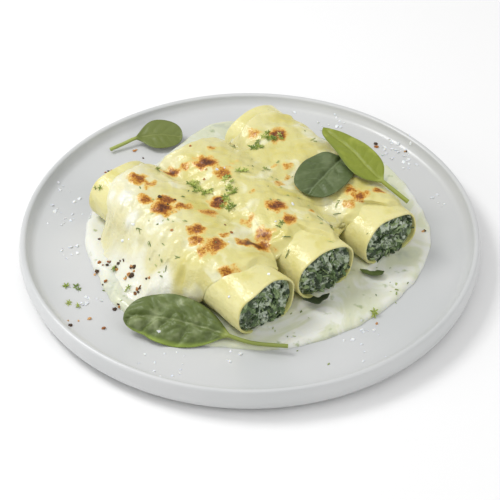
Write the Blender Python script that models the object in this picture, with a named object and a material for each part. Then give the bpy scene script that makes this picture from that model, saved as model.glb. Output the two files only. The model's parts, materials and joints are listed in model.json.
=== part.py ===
"""Spinach cannelloni on a dinner plate.

Three filled pasta tubes lie side by side in a pool of cream sauce, under one
topping of melted cheese, with four spinach leaves and two torn scraps of leaf.
Lengths are in millimetres here and in metres in the scene.  The food has its
own axes on the plate: "across" the tubes and "along" them, turned from world X.

Run with: blender --background --python part.py
"""

from dataclasses import dataclass
from math import cos, exp, log, pi, radians, sin

import bmesh
import bpy
from mathutils import Vector

MM = 0.001
GAP = 0.3  # clearance between pieces that touch

# Colour (linear) and roughness of each kind of piece.
GLAZE = ((0.68, 0.69, 0.69), 0.25)
CREAM_SAUCE = ((0.62, 0.63, 0.42), 0.2)
MELTED_CHEESE = ((0.80, 0.72, 0.38), 0.3)
PASTA = ((0.80, 0.72, 0.32), 0.35)
SPINACH_FILLING = ((0.10, 0.16, 0.07), 0.6)
FRESH_LEAF = ((0.16, 0.26, 0.05), 0.4)
DARK_LEAF = ((0.04, 0.07, 0.03), 0.45)
GUIDE = ((0.5, 0.5, 0.5), 0.5)

# Plate: a flat floor inside an upright rounded rim, on a low foot ring.
PLATE_RADIUS = 130.0
PLATE_HEIGHT = 18.0
PLATE_BULGE = 0.6
FLOOR_TOP = 11.0
RIM_HALF = 2.0
RIM_STEPS = 4
FLOOR_RADIUS = 119.0
FOOT_RADIUS = 112.0
FOOT_WIDTH = 6.0
FOOT_RECESS = 3.5
PLATE_SIDES = 72

# Sauce pool: how far it reaches from the plate's centre, every 20 degrees from +X.
POOL_REACH = (103, 102, 104, 101, 101, 108, 92, 85, 93, 94, 91, 93, 93, 91, 93, 93, 95, 99)
POOL_STEPS = 4
POOL_DEPTH = 2.7
POOL_TOP = FLOOR_TOP + GAP + POOL_DEPTH
# Rounded edge of the pool, as (how far in from its reach, share of its depth).
POOL_EDGE = ((0.4, 0.0), (0.0, 0.25), (0.7, 0.6), (2.4, 0.88), (5.5, 1.0))

# Tubes: rolled pasta sheet of a squarish oval section, filled from end to end.
FOOD_TURN = radians(39.0)
SHEET = 1.3
TUBE_FOOT = FLOOR_TOP + 1.3
OVAL_POWER = 2.3
TUBE_SIDES = 24
TUBE_STATIONS = 4

# End faces of the fillings: the rings' sizes, and how far they lie in from the tube's mouth.
FACE_RINGS = (0.3, 0.6, 0.85)
FACE_RECESS = 1.5
FACE_WAVE = 0.6
FACE_WAVE_ACROSS = 0.55  # radians per millimetre
FACE_WAVE_UP = 0.6

# Topping: thickness over the tubes' backs, and how far its folds spread to either side.
TOPPING_CENTRE = (-6.0, 4.0)
TOPPING_STEPS = 2
TOPPING_THICKNESS = 2.4
TOPPING_SPREAD = 4.5
TOPPING_SPREAD_NEAR = 2.2
NEAR_EDGE = -56.0  # along: from here the folds widen
SETTLING = 26.0
TOPPING_SOFTNESS = 1.5
TOPPING_EDGE = 1.2
TOPPING_RINGS = (1.0, 0.955, 0.9, 0.82, 0.73, 0.63, 0.52, 0.4, 0.27, 0.13)

# Bridge: the thick cheese that fills the valleys between the tubes, back from the open ends.
BRIDGE_LEFT = -40.0
BRIDGE_RIGHT = 48.0
BRIDGE_NEAR = -52.0
BRIDGE_FAR = 62.0
BRIDGE_FADE_ACROSS = 10.0
BRIDGE_FADE_ALONG = 32.0
BRIDGE_RISE = 26.0

# Apron: the part of the topping that runs off the left tube, as places across and along.
APRON_SHOULDER = -60.0
APRON_REACH = -88.0
APRON_MIDDLE = -8.0
APRON_NARROWING_FAR = 0.005
APRON_NARROWING_NEAR = 0.028
APRON_LEAST = 4.0
APRON_RISE = 19.0
APRON_FADE = 20.0

# Outline of the topping, as (across, along, how far the edge hangs down).
TOPPING_OUTLINE = (
    (-62, -40, 0), (-54, -45, 0), (-44, -50, 0), (-32, -49, 0), (-23, -53, 0),
    (-20, -45, 0), (-12, -47, 0), (0, -42, 0), (7, -51, 0), (13, -60, 0),
    (20, -56, 0), (25, -46, 0), (34, -50, 0), (46, -47, 0), (58, -57, 0),
    (70, -55, 8), (73, -38, 14), (74, -10, 14), (74, 20, 14), (72, 44, 12),
    (64, 51, 4), (50, 56, 0), (34, 54, 0), (25, 57, 8), (13, 61, 13),
    (-3, 63, 15), (-19, 66, 10), (-30, 62, 2), (-44, 60, 0), (-60, 57, 0),
    (-72, 46, 0), (-80, 28, 0), (-87, 6, 0), (-87, -8, 0), (-74, -25, 0),
)


@dataclass(frozen=True)
class Tube:
    """One filled tube, lying flat with its length near the food's along axis."""

    near: tuple  # middle of the near end, across and along
    far: tuple
    width: float
    far_width: float
    height: float
    near_yaw: float  # how far the near end is turned from square, in degrees
    dent: tuple  # hollow in the near face of the filling: across, up, depth, radius
    spill: float  # how far the filling stands out at the foot of the near face

    @property
    def middle(self):
        """Height of the tube's axis."""
        return TUBE_FOOT + self.height / 2

    def section(self, share, inset=0.0, stretch=0.0):
        """The oval ring at this share of the length, inset from the outside."""
        across = self.near[0] + (self.far[0] - self.near[0]) * share
        along = self.near[1] + (self.far[1] - self.near[1]) * share + stretch
        half_width = (self.width + (self.far_width - self.width) * share) / 2 - inset
        half_height = self.height / 2 - inset
        yaw = radians(self.near_yaw) * (1.0 - share)
        ring = []
        for step in range(TUBE_SIDES):
            angle = 2 * pi * step / TUBE_SIDES
            side = half_width * oval(cos(angle))
            up = half_height * oval(sin(angle))
            ring.append((across + side * cos(yaw), along + side * sin(yaw), self.middle + up))
        return ring

    def axis_across(self, along):
        """Where the axis runs at this place along the food."""
        share = (along - self.near[1]) / (self.far[1] - self.near[1])
        return self.near[0] + (self.far[0] - self.near[0]) * share


TUBES = (
    Tube((-41.3, -64.4), (-43.4, 65.8), 39.0, 41.0, 31.0, 0.0, (16.0, 3.0, 3.5, 5.0), 2.0),
    Tube((1.4, -63.4), (2.6, 55.0), 38.0, 39.0, 31.0, -4.0, (10.0, 7.0, 8.0, 5.5), 2.5),
    Tube((47.9, -64.3), (51.2, 61.7), 39.0, 40.0, 29.0, 0.0, (13.0, 7.0, 3.0, 4.0), 1.5),
)


@dataclass(frozen=True)
class Leaf:
    """A leaf on a curved midrib, from the stem's cut end to the tip of the blade.

    A scrap is a leaf with no stem.
    """

    midrib: tuple  # points in the plate's own axes
    half_width: float
    stem_share: float
    widest: float  # where the blade is widest, as a share of the blade
    fullness: float  # about 0.5 for a round blade, up to 1 for a pointed one
    cup: float  # how far the blade's edges stand above its midrib
    roll: float  # turn about the midrib, in degrees
    stem_half: float = 1.1
    flare: float = 0.0  # how slowly the blade widens from the stem


# Leaves lie on the plate, against the apron and on the cheese; the scraps by the near ends.
LEAVES = {
    "leaf_back": Leaf(
        ((-84, 77.5, 13.4), (-76, 82, 14.5), (-68, 86, 15.8), (-55, 87.5, 17), (-40.8, 86.5, 16)),
        10.3, 0.38, 0.6, 0.55, 1.0, -20.0, flare=3.0),
    "leaf_front": Leaf(
        ((20, -94, 16), (0, -91.2, 16), (-19, -84.2, 18), (-40, -78.8, 20.5), (-55, -76, 21),
         (-67.5, -77, 19)),
        14.2, 0.29, 0.45, 0.6, -1.5, 31.0, flare=1.75),
    "leaf_round": Leaf(
        ((52.6, 29.6, 45), (49.1, 25.1, 45.2), (42.3, 14.6, 45.3), (35.3, 4.1, 44.5),
         (31.8, -1.3, 43)),
        14.9, 0.03, 0.5, 0.5, 1.0, 2.0),
    "leaf_bright": Leaf(
        ((88.5, 0.4, 36.4), (81, 4.7, 40.7), (73.5, 8.9, 45.1), (65.7, 17.8, 47.8), (56.8, 32, 49.5),
         (42.5, 53, 47.5)),
        10.0, 0.35, 0.46, 0.6, 1.0, 4.0, stem_half=1.25, flare=1.4),
    "scrap_left": Leaf(
        ((28.5, -61.5, 20), (36, -61, 18), (43, -56.5, 19)),
        3.0, 0.0, 0.5, 0.9, 0.5, 10.0, 0.5),
    "scrap_right": Leaf(
        ((61, -33, 15.6), (68, -37, 16), (74, -35.5, 16.4)),
        3.0, 0.0, 0.5, 0.9, 0.5, 10.0, 0.5),
}
LEAF_STATIONS = 14
LEAF_SIDES = 10
BLADE_HALF = 0.55
BLADE_RUN_OUT = 4.0  # width over which the round stem flattens into the blade


def oval(value):
    """A cosine or sine, squared off for the tubes' section."""
    squared = abs(value) ** (2.0 / OVAL_POWER)
    return squared if value >= 0 else -squared


def smooth(value):
    """An even rise from 0 to 1, flat at both ends."""
    value = min(max(value, 0.0), 1.0)
    return value * value * (3.0 - 2.0 * value)


def from_food(point):
    """A world point, in millimetres, for one on the food's own axes."""
    across, along, height = point
    x = across * cos(FOOD_TURN) - along * sin(FOOD_TURN)
    y = across * sin(FOOD_TURN) + along * cos(FOOD_TURN)
    return (x, y, height)


def curve_point(before, start, end, after, share):
    """A point on the smooth (Catmull-Rom) span from start to end."""
    result = []
    for p0, p1, p2, p3 in zip(before, start, end, after):
        linear = p2 - p0
        square = 2 * p0 - 5 * p1 + 4 * p2 - p3
        cube = 3 * (p1 - p2) + p3 - p0
        result.append(p1 + 0.5 * share * (linear + share * (square + share * cube)))
    return tuple(result)


def closed_curve(points, steps):
    """A smooth closed curve through the points, with this many steps to a span."""
    count = len(points)
    curve = []
    for index in range(count):
        span = [points[(index + shift) % count] for shift in (-1, 0, 1, 2)]
        curve += [curve_point(*span, step / steps) for step in range(steps)]
    return curve


def open_curve(points, stations):
    """Evenly shared stations on a smooth curve through the points."""
    curve = []
    for station in range(stations + 1):
        place = station / stations * (len(points) - 1)
        index = min(int(place), len(points) - 2)
        span = [points[min(max(index + shift, 0), len(points) - 1)] for shift in (-1, 0, 1, 2)]
        curve.append(Vector(curve_point(*span, place - index)))
    return curve


def skin(name, rings, finish, hollow=False):
    """Skin the rings, given in millimetres, into one closed body.

    A hollow body joins its last ring to its first; any other is capped at both ends.
    """
    mesh = bmesh.new()
    rows = [[mesh.verts.new(Vector(point) * MM) for point in ring] for ring in rings]
    pairs = list(zip(rows, rows[1:]))
    if hollow:
        pairs.append((rows[-1], rows[0]))
    for lower, upper in pairs:
        for index in range(len(lower)):
            following = (index + 1) % len(lower)
            mesh.faces.new((lower[index], lower[following], upper[following], upper[index]))
    if not hollow:
        caps = [mesh.faces.new(rows[0]), mesh.faces.new(rows[-1])]
        bmesh.ops.poke(mesh, faces=caps)
    bmesh.ops.recalc_face_normals(mesh, faces=mesh.faces)
    data = bpy.data.meshes.new(name)
    mesh.to_mesh(data)
    mesh.free()
    data.shade_smooth()
    data.set_sharp_from_angle(angle=radians(40))
    piece = bpy.data.objects.new(name, data)
    bpy.context.scene.collection.objects.link(piece)
    data.materials.append(material(name, *finish))
    return piece


def material(name, colour, roughness):
    """A plain finish for one piece."""
    coat = bpy.data.materials.new(name)
    coat.use_nodes = True
    shader = coat.node_tree.nodes["Principled BSDF"]
    shader.inputs["Base Color"].default_value = (*colour, 1.0)
    shader.inputs["Roughness"].default_value = roughness
    shader.inputs["Metallic"].default_value = 0.0
    return coat


def subtract(piece, cutter):
    """Cut one piece by another, which stays in the scene as a guide."""
    cutter.hide_render = True
    cutter.display_type = "WIRE"
    cut = piece.modifiers.new(cutter.name, "BOOLEAN")
    cut.operation = "DIFFERENCE"
    cut.solver = "EXACT"
    cut.object = cutter


def circle(radius, height, sides):
    """A level ring about the plate's centre."""
    turns = [2 * pi * index / sides for index in range(sides)]
    return [(radius * cos(turn), radius * sin(turn), height) for turn in turns]


def make_plate():
    """Turn the plate from its profile: recess, foot ring, outer wall, rim and floor."""
    rim_middle = PLATE_HEIGHT - RIM_HALF
    rim_radius = PLATE_RADIUS - RIM_HALF
    profile = [
        (FOOT_RADIUS - FOOT_WIDTH - 2.0, FOOT_RECESS),
        (FOOT_RADIUS - FOOT_WIDTH, 0.0),
        (FOOT_RADIUS, 0.0),
        (FOOT_RADIUS + 5.0, 1.2),
        (PLATE_RADIUS - 5.5, 1.9),
        (PLATE_RADIUS - 2.4, 3.5),
        (PLATE_RADIUS - 0.4, 6.4),
        (PLATE_RADIUS + PLATE_BULGE, FLOOR_TOP),
    ]
    for step in range(RIM_STEPS + 1):
        angle = pi * step / RIM_STEPS
        profile.append((rim_radius + RIM_HALF * cos(angle), rim_middle + RIM_HALF * sin(angle)))
    profile += [
        (FLOOR_RADIUS + 4.6, FLOOR_TOP + 1.6),
        (FLOOR_RADIUS + 2.6, FLOOR_TOP + 0.3),
        (FLOOR_RADIUS, FLOOR_TOP),
    ]
    rings = [circle(radius, height, PLATE_SIDES) for radius, height in profile]
    skin("plate", rings, GLAZE)


def make_pool(cutters):
    """Pour the sauce pool: a level slab with a rounded edge, cut round the tubes."""
    reach = closed_curve([(radius,) for radius in POOL_REACH], POOL_STEPS)
    turns = [2 * pi * index / len(reach) for index in range(len(reach))]
    base = FLOOR_TOP + GAP
    rings = []
    for inset, rise in POOL_EDGE:
        rings.append([
            ((radius - inset) * cos(turn), (radius - inset) * sin(turn), base + POOL_DEPTH * rise)
            for (radius,), turn in zip(reach, turns)
        ])
    pool = skin("sauce_pool", rings, CREAM_SAUCE)
    for cutter in cutters:
        subtract(pool, cutter)


def station_shares():
    """Where a tube's sections stand, as shares of its length."""
    return [step / (TUBE_STATIONS - 1) for step in range(TUBE_STATIONS)]


def make_pasta(number, tube):
    """Roll one pasta tube, open at both ends."""
    shares = station_shares()
    outside = [tube.section(share) for share in shares]
    inside = [tube.section(share, SHEET) for share in reversed(shares)]
    rings = [[from_food(point) for point in ring] for ring in outside + inside]
    skin(f"pasta_{number}", rings, PASTA, hollow=True)


def make_filling(number, tube):
    """Pack one tube with filling: a plug with an uneven face at each end."""
    inset = SHEET + GAP
    shares = station_shares()
    body = [tube.section(share, inset) for share in shares]
    near_face = [face_ring(tube, body[0], tube.near, size) for size in FACE_RINGS]
    far_face = [face_ring(tube, body[-1], tube.far, size) for size in reversed(FACE_RINGS)]
    body[0] = [(across, along + FACE_RECESS, height) for across, along, height in body[0]]
    body[-1] = [(across, along - FACE_RECESS, height) for across, along, height in body[-1]]
    rings = [[from_food(point) for point in ring] for ring in near_face + body + far_face]
    skin(f"filling_{number}", rings, SPINACH_FILLING)


def face_ring(tube, rim, end, size):
    """A smaller ring on a filling's end face, pushed in or out by its own unevenness."""
    dent_across, dent_up, dent_depth, dent_radius = tube.dent
    ring = []
    for across, along, height in rim:
        side = (across - end[0]) * size
        up = (height - tube.middle) * size
        phase = FACE_WAVE_ACROSS * side + tube.near[0]
        push = FACE_WAVE * sin(phase) * cos(FACE_WAVE_UP * up)
        if end == tube.near:
            distance = (side - dent_across) ** 2 + (up - dent_up) ** 2
            push += dent_depth * exp(-distance / dent_radius ** 2)
            push -= tube.spill * smooth(-up / tube.height - 0.05)
        else:
            push -= FACE_RECESS
        ring.append((end[0] + side, along + push, tube.middle + up))
    return ring


def make_envelope(number, tube):
    """A closed body just outside one tube, for cutting what lies against it."""
    rings = []
    for share in station_shares():
        stretch = {0.0: -GAP, 1.0: GAP}.get(share, 0.0)
        rings.append([from_food(point) for point in tube.section(share, -GAP, stretch)])
    return skin(f"envelope_{number}", rings, GUIDE)


def topping_height(across, along):
    """Top of the cheese: the tubes' backs and the left apron, softly joined."""
    settled = smooth((along - NEAR_EDGE) / SETTLING)
    spread = TOPPING_SPREAD_NEAR + (TOPPING_SPREAD - TOPPING_SPREAD_NEAR) * settled
    heights = [apron_height(across, along), bridge_height(across, along)]
    for tube in TUBES:
        half = (tube.width + tube.far_width) / 4 + spread
        offset = abs(across - tube.axis_across(along)) / half
        if offset < 1.0:
            back = (1.0 - offset ** OVAL_POWER) ** (1.0 / OVAL_POWER)
            heights.append(tube.middle + (tube.height / 2 + TOPPING_THICKNESS) * back)
    total = sum(exp(height / TOPPING_SOFTNESS) for height in heights)
    return TOPPING_SOFTNESS * log(total)


def bridge_height(across, along):
    """The cheese between the tubes, which falls away towards both ends."""
    left = smooth((across - BRIDGE_LEFT) / BRIDGE_FADE_ACROSS)
    right = smooth((BRIDGE_RIGHT - across) / BRIDGE_FADE_ACROSS)
    near = smooth((along - BRIDGE_NEAR) / BRIDGE_FADE_ALONG)
    far = smooth((BRIDGE_FAR - along) / BRIDGE_FADE_ALONG)
    return POOL_TOP + TOPPING_EDGE + BRIDGE_RISE * left * right * near * far


def apron_height(across, along):
    """The left apron, which runs off the first tube and draws in towards its two ends."""
    past = along - APRON_MIDDLE
    narrowing = APRON_NARROWING_FAR if past > 0.0 else APRON_NARROWING_NEAR
    edge = min(APRON_REACH + narrowing * past ** 2, APRON_SHOULDER - APRON_LEAST)
    rise = smooth((across - edge) / (APRON_SHOULDER - edge))
    fade = 1.0 - smooth((across - APRON_SHOULDER) / APRON_FADE)
    return POOL_TOP + TOPPING_EDGE + APRON_RISE * rise * fade


def make_topping(cutters):
    """Drape the cheese over the tubes and cut it round them, down to the pool."""
    outline = closed_curve(TOPPING_OUTLINE, TOPPING_STEPS)
    centre_across, centre_along = TOPPING_CENTRE
    rings = [[from_food((across, along, POOL_TOP + GAP)) for across, along, _ in outline]]
    for share in TOPPING_RINGS:
        ring = []
        for edge_across, edge_along, hang in outline:
            across = centre_across + (edge_across - centre_across) * share
            along = centre_along + (edge_along - centre_along) * share
            height = topping_height(across, along)
            if share == 1.0:
                height = max(height - hang, POOL_TOP + TOPPING_EDGE)
            ring.append(from_food((across, along, height)))
        rings.append(ring)
    topping = skin("cheese_topping", rings, MELTED_CHEESE)
    for cutter in cutters:
        subtract(topping, cutter)


def make_leaf(name, leaf, finish):
    """Loft one leaf along its midrib: a thin cupped blade that runs into a round stem."""
    spine = open_curve(leaf.midrib, LEAF_STATIONS)
    rings = []
    for station, centre in enumerate(spine):
        tangent = spine[min(station + 1, LEAF_STATIONS)] - spine[max(station - 1, 0)]
        side = tangent.cross(Vector((0, 0, 1))).normalized()
        normal = side.cross(tangent).normalized()
        roll = radians(leaf.roll)
        side, normal = side * cos(roll) + normal * sin(roll), normal * cos(roll) - side * sin(roll)
        half = blade_half_width(leaf, station / LEAF_STATIONS)
        broad = smooth((half - leaf.stem_half) / BLADE_RUN_OUT)
        thick = leaf.stem_half + (BLADE_HALF - leaf.stem_half) * broad
        ring = []
        for index in range(LEAF_SIDES):
            angle = 2 * pi * index / LEAF_SIDES
            reach = cos(angle)
            lift = leaf.cup * reach * reach * broad * (half / leaf.half_width)
            point = centre + side * (half * reach) + normal * (thick * sin(angle) + lift)
            ring.append(tuple(point))
        rings.append(ring)
    skin(name, rings, finish)


def blade_half_width(leaf, share):
    """Half the leaf's width, from the stem's end (0) to the blade's tip (1)."""
    if share <= leaf.stem_share:
        return leaf.stem_half
    blade = (share - leaf.stem_share) / (1.0 - leaf.stem_share)
    power = log(0.5) / log(leaf.widest)
    fullness = leaf.fullness * (1.0 + leaf.flare * max(1.0 - blade / leaf.widest, 0.0))
    swell = max(sin(pi * blade ** power), 0.0) ** fullness
    return max(leaf.half_width * swell, leaf.stem_half * (1.0 - 0.4 * blade))


def main():
    """Clear the scene and build every piece."""
    for leftover in list(bpy.data.objects):
        bpy.data.objects.remove(leftover, do_unlink=True)
    make_plate()
    envelopes = [make_envelope(number, tube) for number, tube in enumerate(TUBES, 1)]
    make_pool(envelopes)
    for number, tube in enumerate(TUBES, 1):
        make_pasta(number, tube)
        make_filling(number, tube)
    make_topping(envelopes)
    for name, leaf in LEAVES.items():
        make_leaf(name, leaf, DARK_LEAF if name.startswith("scrap") else FRESH_LEAF)


main()
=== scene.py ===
"""Spinach cannelloni on a dinner plate: the finished look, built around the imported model.

Three filled pasta tubes lie in a pool of cream sauce under melted, browned cheese, with
spinach leaves, chopped parsley, pepper and salt.  Sizes are in millimetres until a mesh is
made, and the food has its own axes on the plate: "across" the tubes and "along" them.
"""

from __future__ import annotations

import json
import logging
import math
from abc import ABC, abstractmethod
from dataclasses import dataclass
from enum import Enum
from functools import cache
from typing import Any, Sequence

import bpy
import numpy as np
from mathutils import Euler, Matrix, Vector
from mathutils.bvhtree import BVHTree

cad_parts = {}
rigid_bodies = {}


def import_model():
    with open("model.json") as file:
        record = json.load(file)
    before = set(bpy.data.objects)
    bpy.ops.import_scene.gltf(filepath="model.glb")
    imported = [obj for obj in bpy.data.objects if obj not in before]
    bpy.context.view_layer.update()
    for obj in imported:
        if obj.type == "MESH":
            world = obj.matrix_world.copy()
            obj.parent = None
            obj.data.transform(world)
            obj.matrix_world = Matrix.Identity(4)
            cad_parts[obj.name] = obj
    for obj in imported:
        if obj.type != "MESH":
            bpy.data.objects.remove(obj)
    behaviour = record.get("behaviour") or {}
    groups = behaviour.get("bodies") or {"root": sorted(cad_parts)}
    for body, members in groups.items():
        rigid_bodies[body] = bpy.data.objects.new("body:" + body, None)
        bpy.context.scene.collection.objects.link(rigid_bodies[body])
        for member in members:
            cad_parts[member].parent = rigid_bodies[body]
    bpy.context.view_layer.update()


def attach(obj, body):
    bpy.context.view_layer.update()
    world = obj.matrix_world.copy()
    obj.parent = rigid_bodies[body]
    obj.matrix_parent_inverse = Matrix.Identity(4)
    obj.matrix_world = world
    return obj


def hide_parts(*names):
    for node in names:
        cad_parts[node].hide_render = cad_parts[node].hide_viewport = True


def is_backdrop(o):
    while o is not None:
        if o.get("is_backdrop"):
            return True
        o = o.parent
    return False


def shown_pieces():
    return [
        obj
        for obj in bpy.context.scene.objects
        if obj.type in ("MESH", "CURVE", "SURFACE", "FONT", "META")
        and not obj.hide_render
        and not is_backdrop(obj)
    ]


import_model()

LOG = logging.getLogger("cannelloni")
MM = 0.001

Colour = tuple[float, float, float, float]
Span = tuple[float, float]
Socket = bpy.types.NodeSocket
Tree = bpy.types.NodeTree


class Mask(str, Enum):
    """Numbers that a mesh carries at its points for its finish to read."""

    BROWNING = "browning"
    CREAM = "cream"
    BARE = "bare"
    SHADE = "shade"
    VEIN = "vein"
    STEM = "stem"
    TONE = "tone"
    LIE = "lie"


class End(Enum):
    """The ends of a tube, as shares of its length."""

    NEAR = 0.0
    FAR = 1.0


def linear(hex_colour: str) -> Colour:
    """Turn an sRGB hex colour into the linear colour that a shader takes.

    Args:
        hex_colour: six hex digits after a hash.

    Returns:
        Linear red, green and blue, and an alpha of 1.
    """
    parts = [int(hex_colour[start:start + 2], 16) / 255 for start in (1, 3, 5)]
    red, green, blue = [
        part / 12.92 if part <= 0.04045 else ((part + 0.055) / 1.055) ** 2.4 for part in parts
    ]
    return (red, green, blue, 1.0)


def per_mm(size: float) -> float:
    """The texture scale that makes a pattern's cells this many millimetres wide."""
    return 1.0 / (size * MM)


def smooth(value: np.ndarray | float) -> np.ndarray:
    """An even rise from 0 to 1, flat at both ends."""
    value = np.clip(value, 0.0, 1.0)
    return value * value * (3.0 - 2.0 * value)


def ramp(value: np.ndarray, span: Span, wander: np.ndarray | float = 0.0) -> np.ndarray:
    """An even climb from 0 to 1 over a span.

    Args:
        value: where, place by place.
        span: where the climb starts and ends; it may end below its start.
        wander: how far the value strays.

    Returns:
        One share for each place.
    """
    start, end = span
    return smooth((value - start + wander) / (end - start))


def add(
    tree: Tree, kind: str, inputs: dict[str | int, Any] | None = None, **settings: Any
) -> Any:
    """Add a node to a tree.

    Args:
        tree: the material's or the modifier's node tree.
        kind: the node's type.
        inputs: for each input, by name or number, a value or the socket that feeds it.
        settings: the node's own options.

    Returns:
        The new node.
    """
    node = tree.nodes.new(kind)
    for option, value in settings.items():
        setattr(node, option, value)
    for key, value in (inputs or {}).items():
        if isinstance(value, Socket):
            tree.links.new(value, node.inputs[key])
        else:
            node.inputs[key].default_value = value
    return node


def tint(
    tree: Tree, under: Socket | str, over: str, mask: Socket, start: float = 0.0, end: float = 1.0
) -> Socket:
    """Lay one colour over another where a mask passes from start to end.

    Args:
        tree: the material's node tree.
        under: the colour so far, or the first one in hex.
        over: the colour laid on it, in hex.
        mask: the number that decides.
        start: where the upper colour begins.
        end: where it covers.

    Returns:
        The mixed colour.
    """
    if isinstance(under, str):
        under = linear(under)
    share = add(
        tree, "ShaderNodeMapRange", {"Value": mask, "From Min": start, "From Max": end},
        interpolation_type="SMOOTHSTEP",
    )
    mixed = add(
        tree, "ShaderNodeMix", {0: share.outputs[0], 6: under, 7: linear(over)}, data_type="RGBA"
    )
    return mixed.outputs[2]


def total(tree: Tree, base: Socket, extra: Socket, weight: float, middle: float = 0.5) -> Socket:
    """A mask roughened by a noise.

    Args:
        tree: the material's node tree.
        base: the mask.
        extra: the noise.
        weight: how much of the noise is added.
        middle: the noise's middle value, which adds nothing.

    Returns:
        base + weight * (extra - middle).
    """
    part = add(
        tree, "ShaderNodeMath", {0: extra, 1: weight, 2: -weight * middle},
        operation="MULTIPLY_ADD",
    )
    return add(tree, "ShaderNodeMath", {0: base, 1: part.outputs[0]}).outputs[0]


# ---------------------------------------------------------------------------
# Finishes
# ---------------------------------------------------------------------------


class Finish(ABC):
    """What one material looks like, and the record's slot that it belongs to."""

    name: str
    slot: str

    @cache
    def material(self) -> bpy.types.Material:
        """Build the material once, and give the same one after that."""
        coat = bpy.data.materials.new(self.name)
        coat.use_nodes = True
        tree = coat.node_tree
        place = add(tree, "ShaderNodeTexCoord").outputs["Object"]
        self.dress(tree, tree.nodes["Principled BSDF"], place)
        return coat

    @abstractmethod
    def dress(self, tree: Tree, shader: Any, place: Socket) -> None:
        """Give the shader its colour, gloss and relief.

        Args:
            tree: the material's node tree.
            shader: its Principled shader.
            place: the object coordinates.
        """


def wet(shader: Any, roughness: float, softness: float, reach: float, film: float = 0.0) -> None:
    """Set the gloss and the inner glow of moist food.

    Args:
        shader: the Principled shader.
        roughness: how matt the surface is.
        softness: how much light passes under the surface.
        reach: how far that light travels, in millimetres.
        film: how much of a thin oily film lies on top.
    """
    shader.inputs["Coat Weight"].default_value = film
    shader.inputs["Coat Roughness"].default_value = 0.08
    shader.inputs["Roughness"].default_value = roughness
    shader.inputs["IOR"].default_value = 1.4
    shader.inputs["Subsurface Weight"].default_value = softness
    shader.inputs["Subsurface Radius"].default_value = (1.0, 0.8, 0.45)
    shader.inputs["Subsurface Scale"].default_value = reach * MM


@dataclass(frozen=True)
class StonewareGlaze(Finish):
    """Thrown stoneware under a pale grey satin glaze, which gives broad soft highlights."""

    name: str = "glazed_stoneware"
    slot: str = "plate"
    body: str = "#cacbcb"
    thick: str = "#c4c6c6"

    def dress(self, tree: Tree, shader: Any, place: Socket) -> None:
        """Cloud the glaze faintly and give it the slight ripple of a fired surface."""
        cloud = add(tree, "ShaderNodeTexNoise", {"Vector": place, "Scale": per_mm(60.0)})
        colour = tint(tree, self.body, self.thick, cloud.outputs[0], 0.35, 0.7)
        tree.links.new(colour, shader.inputs["Base Color"])
        ripple = add(tree, "ShaderNodeTexNoise", {"Vector": place, "Scale": per_mm(9.0)})
        relief = add(
            tree, "ShaderNodeBump",
            {"Height": ripple.outputs[0], "Strength": 0.05, "Distance": 1.0 * MM},
        )
        tree.links.new(relief.outputs[0], shader.inputs["Normal"])
        shader.inputs["Roughness"].default_value = 0.34
        shader.inputs["Coat Weight"].default_value = 0.25
        shader.inputs["Coat Roughness"].default_value = 0.18


@dataclass(frozen=True)
class CreamSauce(Finish):
    """Warm cream sauce: pale, glossy and slightly green from the spinach cooked in it."""

    name: str = "herb_cream_sauce"
    slot: str = "cream_sauce"
    body: str = "#d3d6bc"
    thick: str = "#e2e3da"
    thin: str = "#bfc4b0"
    sunk_leaf: str = "#aab48c"

    def dress(self, tree: Tree, shader: Any, place: Socket) -> None:
        """Streak the sauce with thicker cream, and cloud it where leaf lies under the surface."""
        streak = add(
            tree, "ShaderNodeTexNoise",
            {"Vector": place, "Scale": per_mm(30.0), "Detail": 3.0, "Distortion": 1.6},
        )
        colour = tint(tree, self.body, self.thick, streak.outputs[0], 0.5, 0.64)
        colour = tint(tree, colour, self.thin, streak.outputs[0], 0.46, 0.34)
        cream = add(tree, "ShaderNodeAttribute", attribute_name=Mask.CREAM.value).outputs["Fac"]
        colour = tint(tree, colour, self.thick, cream)
        sunk = add(
            tree, "ShaderNodeTexNoise", {"Vector": place, "Scale": per_mm(7.0), "Detail": 3.0}
        )
        colour = tint(tree, colour, self.sunk_leaf, sunk.outputs[0], 0.6, 0.76)
        tree.links.new(colour, shader.inputs["Base Color"])
        relief = add(
            tree, "ShaderNodeBump",
            {"Height": sunk.outputs[0], "Strength": 0.12, "Distance": 1.0 * MM},
        )
        tree.links.new(relief.outputs[0], shader.inputs["Normal"])
        wet(shader, 0.2, 0.25, 2.5)


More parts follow.
